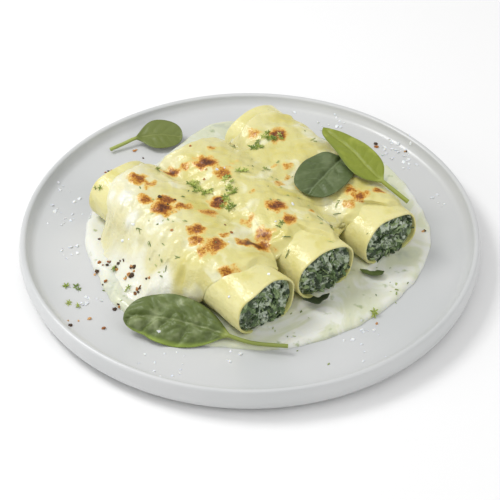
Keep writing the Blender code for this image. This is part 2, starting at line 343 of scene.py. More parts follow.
@dataclass(frozen=True)
class MeltedCheese(Finish):
    """Melted cheese sauce: a moist pale yellow skin, blistered brown by the grill."""

    name: str = "grilled_cheese_sauce"
    slot: str = "melted_cheese"
    body: str = "#d3cb86"
    yellow: str = "#cbc06a"
    pale: str = "#e3e0ba"
    cream: str = "#e6e6d6"
    pasta: str = "#dad28e"
    halo: str = "#dbbd6c"
    toast: str = "#c48a28"
    brown: str = "#8e500c"
    char: str = "#522604"

    def dress(self, tree: Tree, shader: Any, place: Socket) -> None:
        """Vary the yellow, fade it into cream at the apron, and brown the blisters."""
        cloud = add(
            tree, "ShaderNodeTexNoise",
            {"Vector": place, "Scale": per_mm(17.0), "Detail": 3.0, "Distortion": 0.5},
        )
        colour = tint(tree, self.body, self.yellow, cloud.outputs[0], 0.5, 0.68)
        colour = tint(tree, colour, self.pale, cloud.outputs[0], 0.46, 0.3)
        bare = add(tree, "ShaderNodeAttribute", attribute_name=Mask.BARE.value).outputs["Fac"]
        colour = tint(tree, colour, self.pasta, bare)
        # the cream mask also carries white painted highlights on the pearls
        cream = add(tree, "ShaderNodeAttribute", attribute_name=Mask.CREAM.value).outputs["Fac"]
        colour = tint(tree, colour, self.cream, cream)

        heat = add(tree, "ShaderNodeAttribute", attribute_name=Mask.BROWNING.value).outputs["Fac"]
        blotch = add(
            tree, "ShaderNodeTexNoise", {"Vector": place, "Scale": per_mm(4.4), "Detail": 4.0}
        )
        grain = add(
            tree, "ShaderNodeTexNoise", {"Vector": place, "Scale": per_mm(1.1), "Detail": 2.0}
        )
        heat = total(tree, heat, blotch.outputs[0], 0.7)
        crumbed = total(tree, heat, grain.outputs[0], 0.9)
        colour = tint(tree, colour, self.halo, heat, 0.12, 0.38)
        colour = tint(tree, colour, self.toast, crumbed, 0.32, 0.62)
        colour = tint(tree, colour, self.brown, crumbed, 0.58, 0.88)
        colour = tint(tree, colour, self.char, crumbed, 0.88, 1.2)
        tree.links.new(colour, shader.inputs["Base Color"])

        skin = add(
            tree, "ShaderNodeTexNoise", {"Vector": place, "Scale": per_mm(4.2), "Detail": 3.0}
        )
        lumps = add(
            tree, "ShaderNodeBump",
            {"Height": skin.outputs[0], "Strength": 0.4, "Distance": 1.0 * MM},
        )
        blister = add(
            tree, "ShaderNodeBump",
            {"Height": crumbed, "Strength": 0.4, "Distance": 0.5 * MM,
             "Normal": lumps.outputs[0]},
        )
        tree.links.new(blister.outputs[0], shader.inputs["Normal"])
        tree.links.new(blister.outputs[0], shader.inputs["Coat Normal"])
        wet(shader, 0.3, 0.2, 2.0, film=0.22)
        gloss = add(tree, "ShaderNodeMapRange", {"Value": cream, "To Min": 0.28, "To Max": 0.15})
        dried = add(
            tree, "ShaderNodeMapRange", {"Value": heat, "From Min": 0.3, "To Max": 0.2}
        )
        roughness = total(tree, gloss.outputs[0], dried.outputs[0], 1.0, 0.0)
        tree.links.new(roughness, shader.inputs["Roughness"])


@dataclass(frozen=True)
class PastaSheet(Finish):
    """Boiled egg pasta rolled thin: smooth, yellow and moist, paler where it is cut."""

    name: str = "egg_pasta"
    slot: str = "pasta"
    body: str = "#ded799"
    deep: str = "#d3ca7c"
    # painted shade: the colour laid inside the mouths and down the lower flanks
    shaded: str = "#c6c57c"

    def dress(self, tree: Tree, shader: Any, place: Socket) -> None:
        """Mottle the dough faintly, and paint shade inside the mouths and down the lower flanks."""
        cloud = add(
            tree, "ShaderNodeTexNoise", {"Vector": place, "Scale": per_mm(11.0), "Detail": 2.0}
        )
        colour = tint(tree, self.body, self.deep, cloud.outputs[0], 0.45, 0.75)
        # painted shade: the shade mask darkens the mouths' insides and the lower flanks
        shade = add(tree, "ShaderNodeAttribute", attribute_name=Mask.SHADE.value).outputs["Fac"]
        colour = tint(tree, colour, self.shaded, shade)
        tree.links.new(colour, shader.inputs["Base Color"])
        dough = add(
            tree, "ShaderNodeTexNoise", {"Vector": place, "Scale": per_mm(4.0), "Detail": 4.0}
        )
        relief = add(
            tree, "ShaderNodeBump",
            {"Height": dough.outputs[0], "Strength": 0.5, "Distance": 1.3 * MM},
        )
        tree.links.new(relief.outputs[0], shader.inputs["Normal"])
        tree.links.new(relief.outputs[0], shader.inputs["Coat Normal"])
        wet(shader, 0.22, 0.25, 2.0, film=0.3)
        damp = add(
            tree, "ShaderNodeMapRange",
            {"Value": dough.outputs[0], "From Min": 0.35, "From Max": 0.65, "To Min": 0.5,
             "To Max": 0.25},
        )
        tree.links.new(damp.outputs[0], shader.inputs["Roughness"])


@dataclass(frozen=True)
class SpinachFilling(Finish):
    """Chopped spinach bound with soft white cheese: a moist mottle of dark green and grey."""

    name: str = "chopped_spinach_and_cheese"
    slot: str = "spinach_filling"
    leaf: str = "#394a31"
    light_leaf: str = "#7f9363"
    curd: str = "#b9c4ae"

    def dress(self, tree: Tree, shader: Any, place: Socket) -> None:
        """Part the filling into shreds about 3 mm wide with cheese smeared between them."""
        warp = add(
            tree, "ShaderNodeTexNoise", {"Vector": place, "Scale": per_mm(3.5), "Detail": 3.0}
        )
        shift = add(
            tree, "ShaderNodeVectorMath",
            {0: warp.outputs["Color"], 1: (3.0 * MM,) * 3, 2: place}, operation="MULTIPLY_ADD",
        )
        shreds = add(
            tree, "ShaderNodeTexVoronoi", {"Vector": shift.outputs[0], "Scale": per_mm(3.1)}
        )
        seams = add(
            tree, "ShaderNodeTexVoronoi", {"Vector": shift.outputs[0], "Scale": per_mm(3.1)},
            feature="DISTANCE_TO_EDGE",
        )
        tone = add(tree, "ShaderNodeSeparateColor", {0: shreds.outputs["Color"]}).outputs[0]
        colour = tint(tree, self.leaf, self.light_leaf, tone, 0.3, 1.0)
        clumps = add(
            tree, "ShaderNodeTexNoise", {"Vector": place, "Scale": per_mm(8.0), "Detail": 2.0}
        )
        smear = total(tree, seams.outputs["Distance"], warp.outputs[0], -0.9)
        smear = total(tree, smear, clumps.outputs[0], -1.3)
        colour = tint(tree, colour, self.curd, smear, 0.2, -0.05)
        tree.links.new(colour, shader.inputs["Base Color"])
        relief = add(
            tree, "ShaderNodeBump",
            {"Height": seams.outputs["Distance"], "Strength": 0.5, "Distance": 0.8 * MM},
        )
        tree.links.new(relief.outputs[0], shader.inputs["Normal"])
        wet(shader, 0.28, 0.05, 1.0, film=0.4)


@dataclass(frozen=True)
class LeafBlade(Finish):
    """A spinach leaf: a waxy green skin with a soft gloss, and paler veins drawn into it."""

    name: str
    body: str
    # paler patches: painted sheen on the front leaf's pillows, random mottle on the other leaves
    patch: str
    vein: str
    stem: str
    # painted fold: the strip's colour, darker as painted shade on the young leaf and paler on the
    # front leaf's curled rim
    painted_fold: str = "#93a548"
    mottle_and_sheen_share: float = 0.6
    gloss: float = 0.42
    slot: str = "fresh_leaf"

    def dress(self, tree: Tree, shader: Any, place: Socket) -> None:
        """Mottle the blade, paint sheen as paler patches on the front leaf, draw the veins and stem
        paler, paint the folded strip, and net it with fine veins.
        """
        cloud = add(
            tree, "ShaderNodeTexNoise", {"Vector": place, "Scale": per_mm(13.0), "Detail": 3.0}
        )
        # painted sheen on the front leaf, random mottle elsewhere: the paler patch colour over the
        # cloud
        colour = tint(
            tree, self.body, self.patch, cloud.outputs[0],
            0.72 - 0.4 * self.mottle_and_sheen_share, 0.92 - 0.4 * self.mottle_and_sheen_share,
        )
        # the shade mask paints the fold strip: painted shade on the young leaf
        for mask, over, start, end in (
            (Mask.VEIN, self.vein, 0.3, 1.7), (Mask.STEM, self.stem, 0.0, 1.0),
            (Mask.SHADE, self.painted_fold, 0.0, 1.0),
        ):
            share = add(tree, "ShaderNodeAttribute", attribute_name=mask.value).outputs["Fac"]
            colour = tint(tree, colour, over, share, start, end)
        tree.links.new(colour, shader.inputs["Base Color"])
        net = add(
            tree, "ShaderNodeTexVoronoi", {"Vector": place, "Scale": per_mm(1.6)},
            feature="DISTANCE_TO_EDGE",
        )
        relief = add(
            tree, "ShaderNodeBump",
            {"Height": net.outputs["Distance"], "Strength": 0.12, "Distance": 0.4 * MM},
        )
        tree.links.new(relief.outputs[0], shader.inputs["Normal"])
        wet(shader, self.gloss, 0.08, 0.8)


@dataclass(frozen=True)
class StrewnBits(Finish):
    """Small bits of one kind, from dark to light: chopped herb, ground pepper or salt."""

    name: str
    slot: str
    dark: str
    middle: str
    light: str
    roughness: float = 0.5
    glow: float = 0.0

    def dress(self, tree: Tree, shader: Any, place: Socket) -> None:
        """Give each bit a tone of its own, and mottle it within."""
        tone = add(tree, "ShaderNodeAttribute", attribute_name=Mask.TONE.value).outputs["Fac"]
        fleck = add(
            tree, "ShaderNodeTexNoise", {"Vector": place, "Scale": per_mm(1.2), "Detail": 2.0}
        )
        tone = total(tree, tone, fleck.outputs[0], 0.6)
        colour = tint(tree, self.dark, self.middle, tone, 0.25, 0.5)
        colour = tint(tree, colour, self.light, tone, 0.6, 0.9)
        tree.links.new(colour, shader.inputs["Base Color"])
        wet(shader, self.roughness, self.glow, 0.6)


@dataclass(frozen=True)
class StudioPaper(Finish):
    """White background paper, matt and even."""

    name: str = "studio_paper"
    slot: str = ""
    sheet: str = "#f0f0f0"

    def dress(self, tree: Tree, shader: Any, place: Socket) -> None:
        """Leave the paper plain."""
        shader.inputs["Base Color"].default_value = linear(self.sheet)
        shader.inputs["Roughness"].default_value = 0.9


# ---------------------------------------------------------------------------
# Shapes
# ---------------------------------------------------------------------------


@dataclass(frozen=True)
class Ripple:
    """Seeded unevenness of one size: waves summed in every direction.

    It stands about its height either way, wherever it is asked.
    """

    wavelength: float
    seed: int
    height: float = 1.0
    waves: int = 22

    def at(self, points: np.ndarray) -> np.ndarray:
        """How high the ripple stands.

        Args:
            points: places, in millimetres, with the axes last.

        Returns:
            One height for each place.
        """
        rng = np.random.default_rng(self.seed)
        directions = rng.normal(size=(self.waves, points.shape[-1]))
        directions /= np.linalg.norm(directions, axis=1, keepdims=True)
        numbers = 2 * np.pi / (self.wavelength * rng.uniform(0.7, 1.4, self.waves))
        phases = rng.uniform(0, 2 * np.pi, self.waves)
        crests = np.cos(points @ (directions * numbers[:, None]).T + phases)
        return self.height * (crests.sum(axis=-1) / math.sqrt(2 * self.waves))

    def over(self, across: np.ndarray, along: np.ndarray) -> np.ndarray:
        """How high the ripple stands over these places on a plane."""
        return self.at(np.stack([across, along], axis=-1))


def spline(points: Sequence[Sequence[float]], places: np.ndarray, closed: bool) -> np.ndarray:
    """Points on a smooth (Catmull-Rom) curve.

    Args:
        points: what the curve passes through.
        places: where on the curve, with one unit to a span.
        closed: whether the last point leads back to the first.

    Returns:
        One row for each place.
    """
    knots = np.array(points, float)
    count = len(knots)
    start = np.floor(places).astype(int)
    start = start if closed else np.minimum(start, count - 2)
    spots = start + np.array([[-1], [0], [1], [2]])
    p0, p1, p2, p3 = knots[spots % count if closed else np.clip(spots, 0, count - 1)]
    share = (places - start)[:, None]
    cube = 3 * (p1 - p2) + p3 - p0
    square = 2 * p0 - 5 * p1 + 4 * p2 - p3
    return p1 + 0.5 * share * (p2 - p0 + share * (square + share * cube))


def skin(
    name: str,
    rings: np.ndarray,
    finish: Finish,
    masks: dict[Mask, np.ndarray] | None = None,
    hollow: bool = False,
) -> bpy.types.Object:
    """Skin rings of points into one closed, smooth body.

    Args:
        name: the piece's name.
        rings: ring by ring, point by point, in millimetres.
        finish: what the piece is made of.
        masks: numbers for the finish, one for each point of each ring.
        hollow: whether the last ring joins the first; otherwise a point closes each end.

    Returns:
        The piece, at the origin.
    """
    count, columns = rings.shape[:2]
    row = np.arange(columns)
    following = (row + 1) % columns
    lower = np.arange(count if hollow else count - 1)[:, None] * columns
    upper = (lower + columns) % (count * columns)
    quads = np.stack(
        [lower + row, lower + following, upper + following, upper + row], axis=-1
    ).reshape(-1, 4)
    points = rings.reshape(-1, 3)
    faces = quads.tolist()
    if not hollow:
        first, last = len(points), len(points) + 1
        points = np.vstack([points, rings[0].mean(axis=0), rings[-1].mean(axis=0)])
        faces += np.stack([following, row, np.full(columns, first)], axis=-1).tolist()
        top = (count - 1) * columns
        faces += np.stack([top + row, top + following, np.full(columns, last)], axis=-1).tolist()
    a, b, c, d = np.moveaxis(points[quads], 1, 0)
    volume = (a * (np.cross(b, c) + np.cross(c, d))).sum()
    if volume < 0:
        faces = [face[::-1] for face in faces]
    mesh = bpy.data.meshes.new(name)
    mesh.from_pydata((points * MM).tolist(), [], faces)
    for mask, values in (masks or {}).items():
        layer = mesh.attributes.new(mask.value, "FLOAT", "POINT")
        flat = values.reshape(-1)
        if not hollow:
            flat = np.append(flat, [values[0].mean(), values[-1].mean()])
        layer.data.foreach_set("value", flat.astype(np.float32))
    mesh.shade_smooth()
    mesh.materials.append(finish.material())
    piece = bpy.data.objects.new(name, mesh)
    bpy.context.scene.collection.objects.link(piece)
    return piece


def settle(piece: bpy.types.Object, finish: Finish, *nodes: str) -> bpy.types.Object:
    """Hand a finished piece to the frame.

    Args:
        piece: the piece, in its place.
        finish: what it is made of.
        nodes: the CAD nodes that it stands for.

    Returns:
        The same piece.
    """
    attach(piece, "root")
    if nodes:
        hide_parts(*nodes)
    LOG.info("%s: %d faces, %s", piece.name, len(piece.data.polygons), finish.name)
    return piece


# ---------------------------------------------------------------------------
# Layout, as the CAD has it
# ---------------------------------------------------------------------------

FLOOR_TOP = 11.0
POOL_TOP = 14.0
TUBE_FOOT = 12.3
SHEET = 1.3
OVAL_POWER = 2.3
FOOD_TURN = math.radians(39.0)
FAR_BELOW = -100.0


def from_food(across: np.ndarray, along: np.ndarray, height: np.ndarray) -> np.ndarray:
    """Places on the food's own axes, as points on the plate's.

    Args:
        across: places across the tubes.
        along: places along them.
        height: heights above the table.

    Returns:
        Points, with x, y and z last.
    """
    cosine, sine = math.cos(FOOD_TURN), math.sin(FOOD_TURN)
    x, y = across * cosine - along * sine, across * sine + along * cosine
    return np.stack(np.broadcast_arrays(x, y, height), axis=-1)


def to_food(x: np.ndarray, y: np.ndarray) -> tuple[np.ndarray, np.ndarray]:
    """Places on the plate's axes, as places across and along the food."""
    cosine, sine = math.cos(FOOD_TURN), math.sin(FOOD_TURN)
    return x * cosine + y * sine, y * cosine - x * sine


def around(count: int) -> np.ndarray:
    """Directions spaced evenly round a full turn."""
    return np.linspace(0, 2 * np.pi, count, endpoint=False)


@dataclass(frozen=True)
class Tube:
    """One filled tube, lying flat with its length near the food's along axis."""

    number: int
    near: tuple[float, float]
    far: tuple[float, float]
    width: float
    far_width: float
    height: float
    near_yaw: float
    dent: tuple[float, float, float, float]
    spill: float

    @property
    def middle(self) -> float:
        """Height of the tube's axis."""
        return TUBE_FOOT + self.height / 2

    @property
    def half_width(self) -> float:
        """Half the tube's width, halfway along it."""
        return (self.width + self.far_width) / 4

    def axis_across(self, along: np.ndarray) -> np.ndarray:
        """Where the axis runs at these places along the food."""
        share = (along - self.near[1]) / (self.far[1] - self.near[1])
        return self.near[0] + (self.far[0] - self.near[0]) * share

    def back(self, across: np.ndarray, along: np.ndarray, spread: Any, rise: float) -> np.ndarray:
        """Height of the tube's upper side, or far below the plate beside it.

        Args:
            across: places across the food.
            along: places along it.
            spread: how far the side is moved outwards.
            rise: how far the top is raised.

        Returns:
            One height for each place.
        """
        half = self.half_width + spread
        offset = np.minimum(np.abs(across - self.axis_across(along)) / half, 1.0)
        swell = (1.0 - offset ** OVAL_POWER) ** (1.0 / OVAL_POWER)
        height = self.middle + (self.height / 2 + rise) * swell
        return np.where(offset < 1.0, height, FAR_BELOW)

    def covers(self, across: np.ndarray, along: np.ndarray) -> np.ndarray:
        """Height of the tube's own upper side, and far below the plate past its ends."""
        inside = (along > self.near[1]) & (along < self.far[1])
        return np.where(inside, self.back(across, along, 0.0, 0.0), FAR_BELOW)

    def hold(self, rings: np.ndarray) -> tuple[np.ndarray, np.ndarray]:
        """The places on the tube's skin right under some points near it.

        Args:
            rings: points on the food's axes.

        Returns:
            Those places, and how far out the points are, as a multiple of the skin's own reach.
        """
        along = rings[..., 1]
        axis = np.stack([self.axis_across(along), along, np.full_like(along, self.middle)], axis=-1)
        half = np.array([self.half_width, 1.0, self.height / 2])
        ray = rings - axis
        out = (np.abs(ray / half) ** OVAL_POWER).sum(axis=-1) ** (1.0 / OVAL_POWER)
        return axis + ray / out[..., None], out

    def section(
        self, share: np.ndarray, angle: np.ndarray, inset: np.ndarray | float = 0.0
    ) -> tuple[np.ndarray, np.ndarray, np.ndarray]:
        """Points of the oval section, on the food's axes.

        Args:
            share: shares of the length, as a column.
            angle: directions from the axis, as a row.
            inset: how far in from the outside.

        Returns:
            Across, along and height, row by row.
        """
        across = self.near[0] + (self.far[0] - self.near[0]) * share
        along = self.near[1] + (self.far[1] - self.near[1]) * share
        half_width = (self.width + (self.far_width - self.width) * share) / 2 - inset
        half_height = self.height / 2 - inset
        yaw = np.radians(self.near_yaw) * (1.0 - np.clip(share, 0.0, 1.0))
        side = half_width * np.sign(np.cos(angle)) * np.abs(np.cos(angle)) ** (2 / OVAL_POWER)
        up = half_height * np.sign(np.sin(angle)) * np.abs(np.sin(angle)) ** (2 / OVAL_POWER)
        return across + side * np.cos(yaw), along + side * np.sin(yaw), self.middle + up


TUBES = (
    Tube(1, (-41.3, -64.4), (-43.4, 65.8), 39.0, 41.0, 31.0, 0.0, (16.0, 3.0, 3.5, 5.0), 2.0),
    Tube(2, (1.4, -63.4), (2.6, 55.0), 38.0, 39.0, 31.0, -4.0, (10.0, 7.0, 8.0, 5.5), 2.5),
    Tube(3, (47.9, -64.3), (51.2, 61.7), 39.0, 40.0, 29.0, 0.0, (13.0, 7.0, 3.0, 4.0), 1.5),
)


# ---------------------------------------------------------------------------
# Plate
# ---------------------------------------------------------------------------


@dataclass(frozen=True)
class Plate:
    """The dinner plate, turned from its profile: recess, foot ring, outer wall, rim, floor."""

    profile: tuple[tuple[float, float], ...] = (
        (104.0, 3.5), (105.6, 0.4), (106.0, 0.0), (112.0, 0.0), (117.0, 1.2), (124.5, 1.9),
        (127.6, 3.5), (129.6, 6.4), (130.6, 11.0), (130.1, 15.4), (129.4, 17.4), (128.0, 18.0),
        (126.6, 17.4), (125.9, 15.6), (124.9, 13.9), (123.4, 12.3), (121.4, 11.3), (119.0, 11.0),
    )
    floor_radii: tuple[float, ...] = (105.0, 80.0, 50.0, 20.0, 4.0)
    recess_radii: tuple[float, ...] = (4.0, 40.0, 80.0, 100.0)
    rim_radius: float = 128.0
    wall: Span = (112.0, 126.0)
    hand: Ripple = Ripple(90.0, 5, 0.12)
    sides: int = 224
    steps: int = 6
    finish: StonewareGlaze = StonewareGlaze()

    def build(self) -> None:
        """Turn the plate, a little out of round as a thrown one is."""
        last = len(self.profile) - 1
        turned = spline(self.profile, np.linspace(0, last, last * self.steps + 1), closed=False)
        turned[:, 1] = np.maximum(turned[:, 1], 0.0)
        inner = [(radius, FLOOR_TOP) for radius in self.floor_radii]
        under = [(radius, self.profile[0][1]) for radius in self.recess_radii]
        turned = np.vstack([under, turned, inner])
        turn = around(self.sides)
        ring = np.stack([np.cos(turn), np.sin(turn)], axis=-1)
        radius, height = turned[:, :1], turned[:, 1:]
        radius = radius + self.hand.at(ring * self.rim_radius) * ramp(radius, self.wall)
        height = np.broadcast_to(height, radius.shape)
        rings = np.stack([radius * ring[:, 0], radius * ring[:, 1], height], axis=-1)
        settle(skin("dinner_plate", rings, self.finish), self.finish, "plate")


# ---------------------------------------------------------------------------
# Sauce and cheese
# ---------------------------------------------------------------------------


@dataclass(frozen=True)
class SaucePool:
    """The pool of cream sauce, with a rounded edge and a rise where it wets the tubes."""

    reach: tuple[float, ...] = (
        103, 102, 104, 101, 101, 108, 92, 85, 93, 94, 91, 93, 93, 91, 93, 93, 95, 99,
    )
    mean_reach: float = 95.0
    core: float = 26.0
    foot: float = 0.05
    edge_width: float = 4.6
    wetting: float = 0.9
    wetting_reach: float = 1.8
    beside: float = 4.0
    foot_share: float = 0.72
    tuck: float = 0.8
    thick_across: Span = (-55.0, -75.0)
    thick_along: Span = (-50.0, -20.0)
    pale_x: Span = (-20.0, -80.0)
    pale_y: Span = (-70.0, -10.0)
    wave: Ripple = Ripple(16.0, 11, 0.16)
    thick_wave: Ripple = Ripple(9.0, 13, 0.35)
    edge_wave: Ripple = Ripple(13.0, 12, 0.55)
    columns: int = 432
    rings: int = 64
    edge_rings: int = 9
    finish: CreamSauce = CreamSauce()

    def surface(self, across: np.ndarray, along: np.ndarray) -> np.ndarray:
        """Height of the pool away from its edge: thick to the left, and drawn up at the tubes."""
        thick = ramp(across, self.thick_across) * ramp(along, self.thick_along)
        level = POOL_TOP + self.wave.over(across, along)
        level = level + thick * (1.0 + self.thick_wave.over(across, along))
        rise = np.zeros_like(level)
        for tube in TUBES:
            foot = self.foot_share * tube.half_width
            flank = np.abs(across - tube.axis_across(along)) - foot
            end = np.maximum(tube.near[1] - along, along - tube.far[1])
            gap = np.maximum(np.maximum(flank - self.beside, end), 0.0)
            rise = np.maximum(rise, self.wetting * np.exp(-gap / self.wetting_reach))
        return level + rise

    def build(self) -> None:
        """Pour the pool."""
        turn = around(self.columns)
        places = np.linspace(0, len(self.reach), self.columns, endpoint=False)
        reach = spline([(radius,) for radius in self.reach], places, closed=True)[:, 0]
        ring = np.stack([np.cos(turn), np.sin(turn)], axis=-1)
        reach = reach + self.edge_wave.at(ring * self.mean_reach)
        rise = np.linspace(0, np.pi / 2, self.edge_rings)[:, None]
        edge = reach - self.edge_width * (1 - np.cos(rise))
        inner = np.linspace(1, 0, self.rings)[1:, None] * (edge[-1] - self.core) + self.core
        radius = np.vstack([edge, inner])
        x, y = radius * np.cos(turn), radius * np.sin(turn)
        lift = np.ones_like(radius)
        lift[:self.edge_rings] = np.sin(rise)
        bottom = FLOOR_TOP + self.foot
        height = bottom + (self.surface(*to_food(x, y)) - bottom) * lift
        rings = np.stack([x, y, height], axis=-1)
        rings = np.concatenate([rings[:1] - (0.0, 0.0, self.tuck * self.foot), rings])
        pale = ramp(rings[..., 0], self.pale_x) * ramp(rings[..., 1], self.pale_y)
        piece = skin("cream_sauce_pool", rings, self.finish, {Mask.CREAM: pale})
        settle(piece, self.finish, "sauce_pool")


@dataclass(frozen=True)
class Scorch:
    """One browned patch of cheese: its middle, its half sizes, its turn and its heat."""

    across: float
    along: float
    half_across: float
    half_along: float
    turn: float = 0.0
    heat: float = 1.0


SCORCHES = (
    Scorch(-42, 47, 4.5, 6, 20, 1.0), Scorch(-41, 40, 4, 4, 0, 0.7),
    Scorch(-20, 47, 6, 3.5, -40, 1.0), Scorch(-13, 43, 3.5, 2.5, -40, 0.6),
    Scorch(-4, 35, 7, 5, -55, 1.15), Scorch(7, 44, 3, 2, -40, 0.6),
    Scorch(-2, 21, 5, 6, -10, 0.85), Scorch(8, 25, 3, 2, -40, 0.45),
    Scorch(-50, 30, 3.5, 5, 10, 0.85), Scorch(-47, 18, 6, 6.5, -50, 1.15),
    Scorch(-42, 22, 5, 4, -60, 0.9), Scorch(-38, 12, 5, 3, -35, 0.85),
    Scorch(-18, 6, 4.5, 5.5, -30, 1.15), Scorch(-29, 0, 5, 4, -35, 0.75),
    Scorch(-44, -8, 5, 5, -35, 0.9), Scorch(-49, -15, 3.5, 4, 0, 0.85),
    Scorch(-35, -20, 3, 2, -40, 0.6), Scorch(-44, -25, 5, 6, -75, 0.95),
    Scorch(-52, -24, 3, 5, -55, 0.75), Scorch(-25, -34, 9, 4.5, -38, 1.3),
    Scorch(-15, -31, 5, 5, -20, 0.8), Scorch(2, -20, 6, 5.5, -60, 1.05),
    Scorch(-14, -17, 5, 3, -10, 0.55), Scorch(1, -33, 4.5, 4.5, -20, 0.85),
    Scorch(-52, -44, 4, 5, 10, 0.85), Scorch(-47, -47, 3, 4, -20, 0.5),
    Scorch(37, 42, 4, 4, -30, 0.7), Scorch(46, 31, 5.5, 5.5, -20, 1.05),
    Scorch(33, 7, 3, 3.5, 0, 0.55), Scorch(27, 12, 2.5, 2.5, 0, 0.5),
    Scorch(18, -3, 3, 2.5, 0, 0.55), Scorch(26, -1, 3, 2.5, 0, 0.5),
    Scorch(27, -12, 3.5, 3, -20, 0.8), Scorch(17, -33, 2.2, 2, 0, 0.55),
    Scorch(0, -2, 2.2, 2, 0, 0.5), Scorch(44, -33, 3.5, 3.5, 0, 0.95),
    Scorch(46, -41, 4.5, 5, -50, 0.95), Scorch(38, -41, 3, 3.5, 0, 0.6),
    Scorch(57, -43, 3.5, 2, -40, 0.8),
)


@dataclass(frozen=True)
class CheeseTopping:
    """The melted cheese over the tubes, and the apron of sauce that runs off the left one."""

    outline: tuple[tuple[float, float], ...] = (
        (-62, -40), (-54, -45), (-44, -50), (-32, -49), (-23, -53), (-20, -45), (-12, -47),
        (0, -42), (7, -51), (13, -60), (20, -56), (25, -46), (34, -50), (46, -47), (58, -57),
        (70, -55), (73, -38), (74, -10), (74, 20), (72, 44), (64, 51), (50, 56), (34, 54),
        (25, 57), (13, 61), (-3, 63), (-19, 66), (-30, 62), (-44, 60), (-60, 57), (-72, 46),
        (-80, 28), (-87, 6), (-87, -8), (-74, -25),
    )
    centre: tuple[float, float] = (-6.0, 4.0)
    thickness: float = 2.4
    spread: float = 4.5
    spread_near: float = 2.2
    settled: Span = (-56.0, -30.0)
    softness: float = 1.5
    edge_rise: float = 1.2
    bridge_left: Span = (-40.0, -30.0)
    bridge_right: Span = (48.0, 38.0)
    bridge_near: Span = (-52.0, -20.0)
    bridge_far: Span = (62.0, 30.0)
    bridge_rise: float = 26.0
    apron_shoulder: float = -60.0
    apron_end: float = -40.0
    apron_reach: float = -88.0
    apron_middle: float = -8.0
    apron_least: float = 4.0
    apron_bend_near: float = 0.028
    apron_bend_far: float = 0.005
    apron_rise: float = 19.0
    filled_reach: float = 3.2
    swells: Ripple = Ripple(15.0, 21, 0.42)
    lumps: Ripple = Ripple(6.0, 22, 0.3)
    flank: tuple[Span, Span] = ((-48.0, -58.0), (-88.0, -80.0))
    run_stretch: float = 0.45
    run_swells: Ripple = Ripple(11.0, 23, 0.75)
    run_lumps: Ripple = Ripple(5.5, 30, 0.4)
    # painted highlights: small raised dabs painted white with cream where light shines on the left
    # flank
    highlight_pearls: tuple[tuple[float, float, float], ...] = (
        (-56.5, 41.0, 3.4), (-60.0, 49.5, 2.2), (-62.0, 27.0, 3.0), (-54.0, 12.0, 2.4),
    )
    highlight_pearl_height: float = 0.7
    lip: float = 0.15
    sink: float = 0.2
    least_drop: float = 0.4
    underside: float = 1.6
    held: float = 1.2
    held_fade: float = 0.3
    end_fade: float = 4.0
    edge_slope: float = 2.2
    edge_widths: Span = (5.0, 8.0)
    flowing: Span = (-58.0, -66.0)
    flowing_width: float = 4.0
    drips: Ripple = Ripple(15.0, 31, 3.0)
    hanging: Span = (66.0, 71.0)
    rim_wander: tuple[Ripple, Ripple] = (Ripple(8.0, 26, 0.5), Ripple(8.0, 27, 0.5))
    sag: float = 1.4
    sag_slope: Span = (0.75, 0.25)
    sag_height: Span = (42.0, 32.0)
    sag_inside: Span = (0.0, 4.0)
    sag_stretch: tuple[float, float, float] = (1.0, 1.0, 0.25)
    sag_runs: Ripple = Ripple(10.0, 32)
    sag_beads: Ripple = Ripple(4.5, 33, 0.5)
    scorch_wander: tuple[Ripple, Ripple] = (Ripple(7.0, 24, 1.5), Ripple(7.0, 25, 1.5))
    scorch_fade: Span = (0.2, 1.55)
    scorch_height: float = 0.3
    cream_apron: Span = (-62.0, -78.0)
    cream_far: Span = (24.0, 48.0)
    cream_left: tuple[Span, Span] = ((-18.0, -58.0), (-40.0, 10.0))
    cream_back: tuple[Span, Span] = ((-72.0, -48.0), (20.0, 60.0))
    cream_mixed: Span = (POOL_TOP + 5.0, POOL_TOP - 1.0)
    cream_wander: Ripple = Ripple(18.0, 28, 5.0)
    bare_near: Span = (-38.0, -50.0)
    bare_far_left: tuple[Span, Span] = ((-38.0, -52.0), (32.0, 56.0))
    bare_far_right: tuple[Span, Span] = ((30.0, 40.0), (44.0, 54.0))
    bare_wander: Ripple = Ripple(12.0, 29, 3.0)
    columns: int = 560
    rings: int = 118
    edge_rings: int = 9
    finish: MeltedCheese = MeltedCheese()

    def draped(self, across: np.ndarray, along: np.ndarray) -> np.ndarray:
        """Height of the cheese before it settles: the tubes' backs, bridged, and the apron."""
        settled = ramp(along, self.settled)
        spread = self.spread_near + (self.spread - self.spread_near) * settled
        past = along - self.apron_middle
        bend = np.where(past > 0.0, self.apron_bend_far, self.apron_bend_near)
        edge = np.minimum(
            self.apron_reach + bend * past ** 2, self.apron_shoulder - self.apron_least
        )
        rise = ramp(across, (edge, self.apron_shoulder))
        fade = 1.0 - ramp(across, (self.apron_shoulder, self.apron_end))
        bridge = (
            ramp(across, self.bridge_left) * ramp(across, self.bridge_right)
            * ramp(along, self.bridge_near) * ramp(along, self.bridge_far)
        )
        levels = [
            POOL_TOP + self.edge_rise + self.bridge_rise * bridge,
            POOL_TOP + self.edge_rise + self.apron_rise * rise * fade,
        ]
        levels += [tube.back(across, along, spread, self.thickness) for tube in TUBES]
        stack = np.stack(levels) / self.softness
        return self.softness * np.log(np.exp(stack).sum(axis=0))

